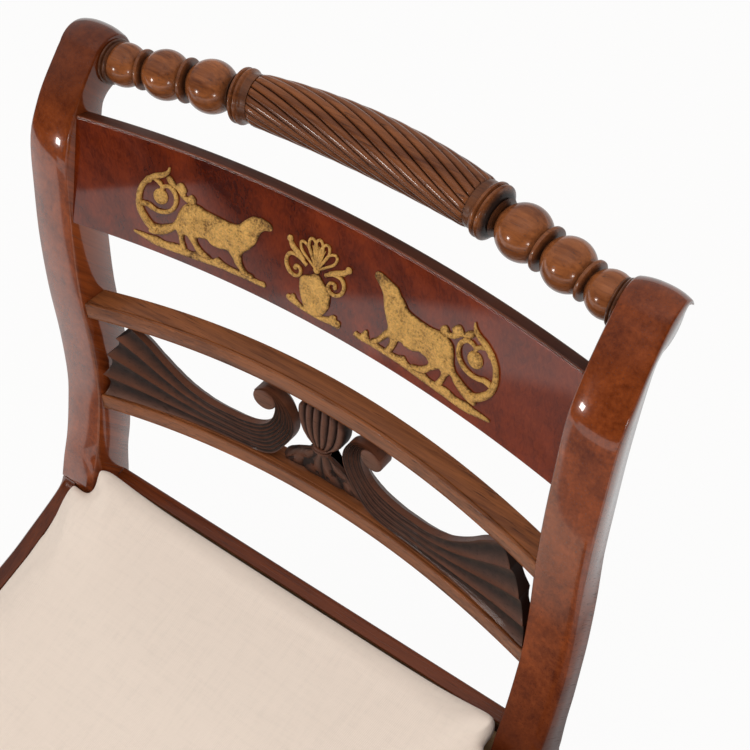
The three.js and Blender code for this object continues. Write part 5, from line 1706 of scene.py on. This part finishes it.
def fill_out(points, share=1.0):
    """Let the cover meet the back rail and the side rails, and rise around the stiles."""
    x, y, z = abs(points[:, 0]), points[:, 1], points[:, 2]
    side = rail_outer(y) - sizes().lip
    top = share * MM * np.clip((z - (BACK_TOP - 24 * MM)) / (18 * MM), 0, 1)
    by_back = top * np.exp(-((y - (REAR - 13 * MM)) / (15 * MM)) ** 2)
    by_side = top * np.exp(-((x - side) / (12 * MM)) ** 2)
    from_stile = np.hypot(x - RISE_PLACE[0], y - RISE_PLACE[1]) / RISE_RADIUS
    by_stile = top * np.exp(-from_stile ** 2)
    points[:, 0] += np.sign(points[:, 0]) * 3 * by_side
    points[:, 1] += 4 * by_back
    points[:, 2] += 4.5 * by_back + 2 * by_side + 15 * by_stile


def fit_to_stiles(points):
    """Keep the cover inside the rebate, and clear of the stiles."""
    clear = STILE_CLEARANCE
    back = REAR - BACK_LIP - clear
    for point in points:
        x, y, z = point
        side_limit = rail_outer(y) - sizes().lip - clear
        if z < BACK_TOP + 30 * MM:
            point[1] = min(y, back)
            point[0] = math.copysign(min(abs(x), side_limit), x)
        if point[1] > joint_front() - clear and abs(point[0]) > INNER - clear:
            over_x = abs(point[0]) - (INNER - clear)
            over_y = point[1] - (joint_front() - clear)
            if over_x < over_y:
                point[0] = math.copysign(INNER - clear, x)
            else:
                point[1] = joint_front() - clear


# Operators

# Worked out from the photograph; the axes are the camera's right, up and back
CAMERA_LENS = 67.83
CAMERA_SENSOR = 36
CAMERA_PLACE = (0.40614, -0.11724, 1.44502)
CAMERA_AXES = (
    (0.804053, 0.57681, -0.144183), (-0.437378, 0.738101, 0.513719), (0.40274, -0.349995, 0.845757),
)
FLOOR_SIZE = 34
FLOOR_LEVEL = -0.5 * MM
FLOOR_GLOW = (0.988, 0.985, 0.982, 1)
GLOW_SHARE = 0.96
SKY_LIGHT = (1.0, 0.985, 0.965, 1)
SKY_LEVEL = 0.4
SKY_SEEN = (0.99, 0.985, 0.98, 1)
SKY_BRIGHT_SIDE = (-0.3, 0.55, 0.78)
# The floor that polish mirrors, along Y in metres: it ends, but for a far strip, and is dim before the chair
FLOOR_ENDS = (-5.4, -5.0)
FAR_STRIP = (-16.5, -15.5)
STRIP_SLOPE, STRIP_EDGE = -0.485, (-0.35, -0.1)
DIM_FRONT, DIM_REAR = (-3.85, -3.6), (-0.8, -1.1)
DIM_SLOPE, DIM_EDGE = -0.6, (-0.12, 0.02)
CHAIR_FOOT = (-0.7, -0.2)
# Name, place, target, size, power and colour of each lamp
LAMPS = (
    ("overhead", (0.2, -0.1, 3.0), (0, 0, 0.5), 2.4, 40, (1.0, 0.985, 0.965)),
    ("left_window", (-1.45, -2.5, 1.45), (0, 0.2, 0.75), 0.36, 11, (1.0, 0.98, 0.95)),
    ("right_window", (2.3, -1.8, 1.25), (0, 0.2, 0.75), 0.34, 6, (1.0, 0.98, 0.96)),
)


class CHAIR_OT_stage(Operator):
    """Make the camera, the floor, the lights and the world"""

    bl_idname = "chair.stage"
    bl_label = "Stage"

    def execute(self, context):
        scene = context.scene
        camera_data = bpy.data.cameras.new("camera")
        camera_data.lens = CAMERA_LENS
        camera_data.sensor_width = CAMERA_SENSOR
        camera_data.clip_start = 0.01
        camera_data.clip_end = 50
        camera = bpy.data.objects.new("camera", camera_data)
        scene.collection.objects.link(camera)
        turn = Matrix(CAMERA_AXES).transposed().to_4x4()
        camera.matrix_world = Matrix.Translation(CAMERA_PLACE) @ turn
        scene.camera = camera
        self.floor()
        self.world(scene)
        overhead, *_ = [self.lamp(*values) for values in LAMPS]
        overhead.visible_glossy = False
        return {"FINISHED"}

    @staticmethod
    def floor():
        clear_selection()
        bpy.ops.mesh.primitive_plane_add(size=FLOOR_SIZE, location=(0, 0, FLOOR_LEVEL))
        floor = bpy.context.active_object
        floor.name = "floor"
        paint = Paint("pale_floor")
        speck = paint.noise(paint.place(), 3, 2, 0.5)
        tone = finishes().floor
        colour = paint.ramp(speck, [(0.3, toned(tone, 0.995)), (0.7, tone)])
        paint.finish(colour, 0.9, specular_ior_level=0.0)
        glow = paint.node("ShaderNodeEmission")
        glow.inputs["Color"].default_value = FLOOR_GLOW
        seen = paint.node("ShaderNodeLightPath").outputs
        white = paint.sum(seen["Is Camera Ray"], seen["Is Glossy Ray"], "MAXIMUM")
        white = paint.sum(white, seen["Is Transmission Ray"], "MAXIMUM")
        # Polish mirrors a floor that is dimmer close in front of the chair and ends in the dark
        x, y, _ = paint.axes()
        beside = paint.between(paint.sum(x, paint.times(y, STRIP_SLOPE)), *STRIP_EDGE)
        far = paint.times(paint.between(y, *FAR_STRIP), beside)
        lit = paint.sum(paint.between(y, *FLOOR_ENDS), far, "MAXIMUM")
        before = paint.between(paint.sum(x, paint.times(y, DIM_SLOPE)), *DIM_EDGE)
        dim = paint.times(paint.times(paint.between(y, *DIM_FRONT), paint.between(y, *DIM_REAR)), before)
        lit = paint.times(lit, paint.between(dim, 1.28, -0.05))
        lit = paint.times(lit, paint.between(paint.between(y, *CHAIR_FOOT), 3.2, -0.1))
        unlit = paint.times(paint.rest(lit), seen["Is Glossy Ray"])
        paint.link(paint.rest(unlit), glow.inputs["Strength"])
        paint.surface(paint.times(white, GLOW_SHARE), paint.shader, glow, paint.tree.nodes["Material Output"])
        floor.data.materials.append(paint.material)

    @staticmethod
    def world(scene):
        scene.world = bpy.data.worlds.new("studio")
        scene.world.use_nodes = True
        sky = Nodes(scene.world.node_tree)
        sky.tree.nodes.clear()
        soft, plain = sky.node("ShaderNodeBackground"), sky.node("ShaderNodeBackground", strength=1.0)
        soft.inputs["Color"].default_value = SKY_LIGHT
        plain.inputs["Color"].default_value = SKY_SEEN
        seen = sky.node("ShaderNodeLightPath").outputs
        direct = sky.sum(seen["Is Camera Ray"], seen["Is Transmission Ray"], "MAXIMUM")
        # What polish and brass mirror of it is bright behind and above the chair and dim in front of it
        towards = sky.node("ShaderNodeVectorMath", operation="DOT_PRODUCT")
        towards.inputs[1].default_value = SKY_BRIGHT_SIDE
        sky.link(sky.node("ShaderNodeTexCoord").outputs["Generated"], towards.inputs[0])
        graded = sky.node("ShaderNodeMapRange", from_min=-0.05, from_max=0.8, to_min=0.0, to_max=0.3)
        graded.interpolation_type = "SMOOTHSTEP"
        sky.link(towards.outputs["Value"], graded.inputs["Value"])
        mirrored = sky.times(seen["Is Glossy Ray"], graded.outputs["Result"])
        sky.link(sky.times(sky.rest(seen["Is Glossy Ray"]), SKY_LEVEL), soft.inputs["Strength"])
        sky.surface(sky.sum(direct, mirrored, "MAXIMUM"), soft, plain, sky.node("ShaderNodeOutputWorld"))

    @staticmethod
    def lamp(name, place, target, size, power, colour):
        data = bpy.data.lights.new(name, "AREA")
        data.shape = "RECTANGLE"
        data.size = size
        data.size_y = size
        data.energy = power
        data.color = colour
        lamp = bpy.data.objects.new(name, data)
        bpy.context.scene.collection.objects.link(lamp)
        lamp.location = place
        lamp.rotation_euler = (Vector(target) - Vector(place)).to_track_quat("-Z", "Y").to_euler()
        return lamp


class CHAIR_OT_stiles(Operator):
    """Model the two stiles with their swept back legs and rolled heads"""

    bl_idname = "chair.stiles"
    bl_label = "Stiles"

    def execute(self, context):
        fitted_pair(stile_piece("stile_right_polished"), polished(), "polished_mahogany", "stile_right")
        return {"FINISHED"}


# The side rails' top, from the stile's joint (0, 1) forward to the front leg (1, 0)
RAIL_TOP_SHARES = [(0, 1), (0.035, 0.68), (0.155, 0.3), (0.26, 0.05), (0.48, -0.16), (0.76, -0.16), (1, 0)]
SIDE_RAIL_WIDTH = 30 * MM
BACK_RAIL_WIDTH = 28 * MM
BACK_RAIL_DEPTH = 60 * MM
FRONT_RAIL_WIDTH = 26 * MM
LEG_TOP_WIDTH = 34 * MM


class CHAIR_OT_seat_rails(Operator):
    """Model the side, back and front seat rails"""

    bl_idname = "chair.seat_rails"
    bl_label = "Seat rails"

    def execute(self, context):
        low = BACK_TOP - sizes().rail_drop
        shelf = BACK_TOP - sizes().rebate
        run = joint_front() - RAIL_FRONT
        top = [Vector((joint_front() - a * run, mix(FRONT_TOP, joint_top(), z))) for a, z in RAIL_TOP_SHARES]
        rings = []
        for s in shares(44):
            point = along_curve(top, s)
            y = min(joint_front() - CLEARANCE, max(point.x, RAIL_FRONT + CLEARANCE))
            outer = rail_outer(y)
            inner, lip = outer - SIDE_RAIL_WIDTH, outer - sizes().lip
            section = [
                (inner, low, 1 * MM), (outer, low, 2 * MM), (outer, point.y, 5 * MM), (lip, point.y, 1 * MM),
                (lip, shelf, 0.3 * MM), (inner, shelf, 1 * MM),
            ]
            rings.append([Vector((p.x, y, p.y)) for p in softened(section, 1 * MM)])
        right = smoothed(grown("side_rail_right_polished", rings), 40)
        fitted_pair(right, polished_along(), "polished_mahogany", "side_rail_right")

        inner, base = REAR - BACK_RAIL_WIDTH, BACK_TOP - BACK_RAIL_DEPTH
        section = softened([
            (inner, base, 1 * MM), (REAR, base, 1.5 * MM), (REAR, BACK_TOP, 2 * MM),
            (REAR - BACK_LIP, BACK_TOP, 1.2 * MM), (REAR - BACK_LIP, shelf, 0.3 * MM), (inner, shelf, 1 * MM),
        ], 1 * MM)
        back = smoothed(bar_along_x("back_seat_rail_polished", REACH, section), 40)
        fitted(back, polished_across(), FRAME_BODY, "polished_mahogany", "back_seat_rail")
        inner, base = FRONT + FRONT_RAIL_WIDTH, FRONT_RAIL_LOW.z
        section = softened([
            (FRONT, base, 2 * MM), (inner, base, 1 * MM), (inner, shelf, 1 * MM),
            (FRONT + FRONT_LIP, shelf, 0.3 * MM), (FRONT + FRONT_LIP, FRONT_TOP, 1 * MM),
            (FRONT, FRONT_TOP, 3 * MM),
        ], 1 * MM)
        reach = LEG_OUTER - LEG_TOP_WIDTH - CLEARANCE
        front = smoothed(bar_along_x("front_seat_rail_polished", reach, section), 40)
        fitted(front, polished_across(), FRAME_BODY, "polished_mahogany", "front_seat_rail")
        return {"FINISHED"}


class CHAIR_OT_front_legs(Operator):
    """Model the sabre-shaped front legs"""

    bl_idname = "chair.front_legs"
    bl_label = "Front legs"

    def execute(self, context):
        shelf = BACK_TOP - sizes().rebate
        rail_low = FRONT_RAIL_LOW.z
        rings = []
        for z in [rail_low * s for s in shares(40)] + [shelf, FRONT_TOP]:
            rise = min(1, z / rail_low)
            front = FRONT - sizes().toe_kick * (1 - rise) ** 1.9
            depth = mix(26 * MM, 36 * MM, rise)
            width = mix(28 * MM, LEG_TOP_WIDTH, rise)
            round_front = mix(1.5, 4, min(1, max(0, 1 - rise) * 5)) * MM
            outline = softened([
                (LEG_OUTER - width, front, round_front), (LEG_OUTER, front, round_front * 1.2),
                (LEG_OUTER, front + depth, 1.2 * MM), (LEG_OUTER - width, front + depth, 1.2 * MM),
            ], 1 * MM, 4)
            rings.append([Vector((p.x, p.y, z)) for p in outline])
        right = grown("front_leg_right_polished", rings)
        notch = 0.1
        place = (LEG_OUTER - sizes().lip - notch / 2, FRONT + FRONT_LIP + notch / 2, shelf + notch / 2)
        cut_box(right, place, (notch, notch, notch))
        smoothed(tidied(right), 40)
        fitted_pair(right, polished_leg(), "polished_mahogany", "front_leg_right")
        return {"FINISHED"}


class CHAIR_OT_top_rail(Operator):
    """Model the spiral-reeded centre with its collars and the two rows of balls"""

    bl_idname = "chair.top_rail"
    bl_label = "Top rail"

    def execute(self, context):
        fitted(reeded_centre_piece(), turned_wood(), FRAME_BODY, "turned_mahogany", "top_rail_reeded_centre")
        right = bead_row_piece("top_rail_beads_right")
        fitted_pair(right, ball_wood(), "turned_mahogany", "top_rail_balls_right")
        return {"FINISHED"}


class CHAIR_OT_tablet(Operator):
    """Model the bowed tablet, its veneer and the bead along its top"""

    bl_idname = "chair.tablet"
    bl_label = "Tablet"

    def execute(self, context):
        plane = tablet_plane()
        low, high = TABLET_FOOT, splat().tablet_height + TABLET_RISE
        deep, skin = splat().tablet_thickness, VENEER_THICKNESS
        core = softened([
            (low + 0.2 * MM, skin, 0.2 * MM), (low, deep, 1.2 * MM),
            (high, deep, 1.5 * MM), (high, skin, 0.2 * MM),
        ], 1 * MM)
        board = smoothed(bar_along_x("tablet_board", REACH, core, plane, 60), 40)
        fitted(board, edge_wood(), FRAME_BODY, "polished_mahogany", "tablet_rail")
        top = high - 1.6 * MM
        face = softened([
            (low, 0, 0.5 * MM), (low, skin, 0.1 * MM), (top, skin, 0.1 * MM), (top, 0, 0.35 * MM),
        ], 0.4 * MM)
        veneer = smoothed(bar_along_x("tablet_flame_veneer", REACH, face, plane, 60), 40)
        fitted(veneer, flame_veneer(), FRAME_BODY, "flame_veneer", "tablet_veneer")
        bead = [
            Vector((high + (0.78 * math.cos(a) - 0.72) * MM, (0.55 + 0.8 * math.sin(a)) * MM))
            for a in around(12)
        ]
        strip = smoothed(bar_along_x("tablet_bead", REACH, bead, plane, 60), 60)
        fitted(strip, polished_across(), FRAME_BODY, "polished_mahogany")
        return {"FINISHED"}


class CHAIR_OT_splat_rails(Operator):
    """Model the two slim bowed rails that hold the carved splat"""

    bl_idname = "chair.splat_rails"
    bl_label = "Splat rails"

    def execute(self, context):
        upper, lower = splat_plane(), splat_plane()
        lower.sag -= LOWER_RAIL_FLATTER
        height = splat().rail_height
        for node, plane, base in (
            ("splat_rail_upper", upper, splat().splat_height - splat().rail_overlap),
            ("splat_rail_lower", lower, -height),
        ):
            section = splat_rail_section(base, height)
            rail = smoothed(bar_along_x(f"{node}_beaded", REACH, section, plane, 60), 40)
            fitted(rail, splat_rail_wood(), FRAME_BODY, "polished_mahogany", node)
        return {"FINISHED"}


class CHAIR_OT_carving(Operator):
    """Carve the two fluted scrolls, the shell and its leaves"""

    bl_idname = "chair.carving"
    bl_label = "Carved splat"

    def execute(self, context):
        right = carved_scroll_piece("carved_scroll_right_fluted")
        fitted_pair(right, carved_wood(), "carved_mahogany", "carved_scroll_right")
        fitted(carved_shell_piece(), carved_wood(), FRAME_BODY, "carved_mahogany", "carved_shell")
        return {"FINISHED"}


class CHAIR_OT_mounts(Operator):
    """Cast the gilt brass mounts on the tablet"""

    bl_idname = "chair.mounts"
    bl_label = "Brass mounts"

    def execute(self, context):
        beasts = (("brass_beast_left", LEFT_BEAST, -1), ("brass_beast_right", RIGHT_BEAST, 1))
        for node, outline, side in beasts:
            beast = beast_piece(f"{node}_casting", outline, side)
            fitted(beast, gilt_brass(), FRAME_BODY, "gilt_brass", node)
        fitted(palmette_piece(), gilt_brass(), FRAME_BODY, "gilt_brass", "brass_palmette")
        return {"FINISHED"}


class CHAIR_OT_cushion(Operator):
    """Fill the seat's cushion and cover it"""

    bl_idname = "chair.cushion"
    bl_label = "Cushion"

    def execute(self, context):
        cushion_piece()
        return {"FINISHED"}


CORNERS = ("back_left", "back_right", "front_left", "front_right")
# Distance along and radius, in millimetres
TACK_OUTLINE = [(-0.9, 0), (-0.8, 1.4), (-0.4, 2.4), (0.02, 2.8), (0.02, 0)]
SCREW_OUTLINE = [(-1.1, 0), (-1.1, 1.0), (-1.1, 3.2), (-0.7, 3.9), (0.02, 4.2), (0.02, 0)]


class CHAIR_OT_seat_underside(Operator):
    """Finish the seat frame, its webbing, hessian and bottom cloth, and the corner blocks"""

    bl_idname = "chair.seat_underside"
    bl_label = "Seat underside"

    def execute(self, context):
        for name in ("back", "front", "side_left", "side_right"):
            dress(f"seat_frame_{name}", beech())
        for name in CORNERS:
            dress(f"corner_block_{name}", beech())
        dress("seat_webbing", woven("jute_webbing_weave", finishes().jute, 1.8 * MM, 0.5))
        dress("seat_hessian", woven("hessian_weave", toned(finishes().jute, 0.85), 1.4 * MM, 0.5))
        dress("seat_lining", woven("black_lining_weave", finishes().lining, 0.8 * MM, 0.3))
        self.tacks()
        self.screws()
        return {"FINISHED"}

    @staticmethod
    def tacks():
        low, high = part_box("seat_lining")
        inset = 9 * MM
        places = []
        for s in shares(9):
            places.append((mix(low.x + inset * 4, high.x - inset * 4, s), low.y + inset))
            places.append((mix(low.x + inset * 5, high.x - inset * 5, s), high.y - inset))
        for s in shares(9)[1:-1]:
            y = mix(low.y, high.y, s)
            half = mix(high.x, INNER + 4 * MM, s) - inset
            places += [(-half, y), (half, y)]
        parts = [turned("tack", in_mm(TACK_OUTLINE), (x, y, low.z), (0, 0, 1), 10) for x, y in places]
        tacks = smoothed(merged("lining_tacks", *parts), 50)
        fitted(tacks, steel(), SEAT_BODY, "black_lining")

    @staticmethod
    def screws():
        parts = []
        for corner in CORNERS:
            low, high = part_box(f"corner_block_{corner}")
            for share in (0.34, 0.66):
                x = mix(low.x, high.x, share)
                rail_side, seat_side = (high.y, low.y) if "back" in corner else (low.y, high.y)
                near_side_rail = abs(x) > abs((low.x + high.x) / 2)
                y = mix(rail_side, seat_side, 0.5 if near_side_rail else 0.26)
                screw = turned("screw", in_mm(SCREW_OUTLINE), (x, y, low.z), (0, 0, 1), 20)
                cut_box(screw, (x, y, low.z - 1.1 * MM), (12 * MM, 0.8 * MM, 1.2 * MM))
                parts.append(screw)
        screws = smoothed(merged("corner_block_screws", *parts), 40)
        fitted(screws, steel(), FRAME_BODY, "plain_beech")


class CHAIR_PT_panel(Panel):
    """Steps that model the chair"""

    bl_label = "Dining chair"
    bl_idname = "CHAIR_PT_panel"
    bl_space_type = "VIEW_3D"
    bl_region_type = "UI"
    bl_category = "Chair"

    def draw(self, context):
        layout = self.layout
        scene = context.scene
        for group in (sizes(), turning(), splat(), scene.seat_sizes, finishes()):
            box = layout.box()
            for key in group.bl_rna.properties.keys():
                if key not in ("rna_type", "name"):
                    box.prop(group, key)
        for step in STEPS:
            layout.operator(step.bl_idname)


GROUPS = (ChairSizes, TurningSizes, SplatSizes, SeatSizes, Finishes)
STEPS = (
    CHAIR_OT_stage, CHAIR_OT_stiles, CHAIR_OT_seat_rails, CHAIR_OT_front_legs, CHAIR_OT_top_rail,
    CHAIR_OT_tablet, CHAIR_OT_splat_rails, CHAIR_OT_carving, CHAIR_OT_mounts, CHAIR_OT_cushion,
    CHAIR_OT_seat_underside,
)


def register():
    for item in (*GROUPS, *STEPS, CHAIR_PT_panel):
        bpy.utils.register_class(item)
    bpy.types.Scene.chair_sizes = PointerProperty(type=ChairSizes)
    bpy.types.Scene.turning_sizes = PointerProperty(type=TurningSizes)
    bpy.types.Scene.splat_sizes = PointerProperty(type=SplatSizes)
    bpy.types.Scene.seat_sizes = PointerProperty(type=SeatSizes)
    bpy.types.Scene.chair_finishes = PointerProperty(type=Finishes)


def unregister():
    for name in ("chair_sizes", "turning_sizes", "splat_sizes", "seat_sizes", "chair_finishes"):
        delattr(bpy.types.Scene, name)
    for item in reversed((*GROUPS, *STEPS, CHAIR_PT_panel)):
        bpy.utils.unregister_class(item)


def main():
    register()
    bpy.context.scene.view_settings.view_transform = "Standard"
    bpy.ops.chair.stage()
    bpy.ops.chair.stiles()
    bpy.ops.chair.seat_rails()
    bpy.ops.chair.front_legs()
    bpy.ops.chair.top_rail()
    bpy.ops.chair.tablet()
    bpy.ops.chair.splat_rails()
    bpy.ops.chair.carving()
    bpy.ops.chair.mounts()
    bpy.ops.chair.cushion()
    bpy.ops.chair.seat_underside()


if __name__ == "__main__":
    main()
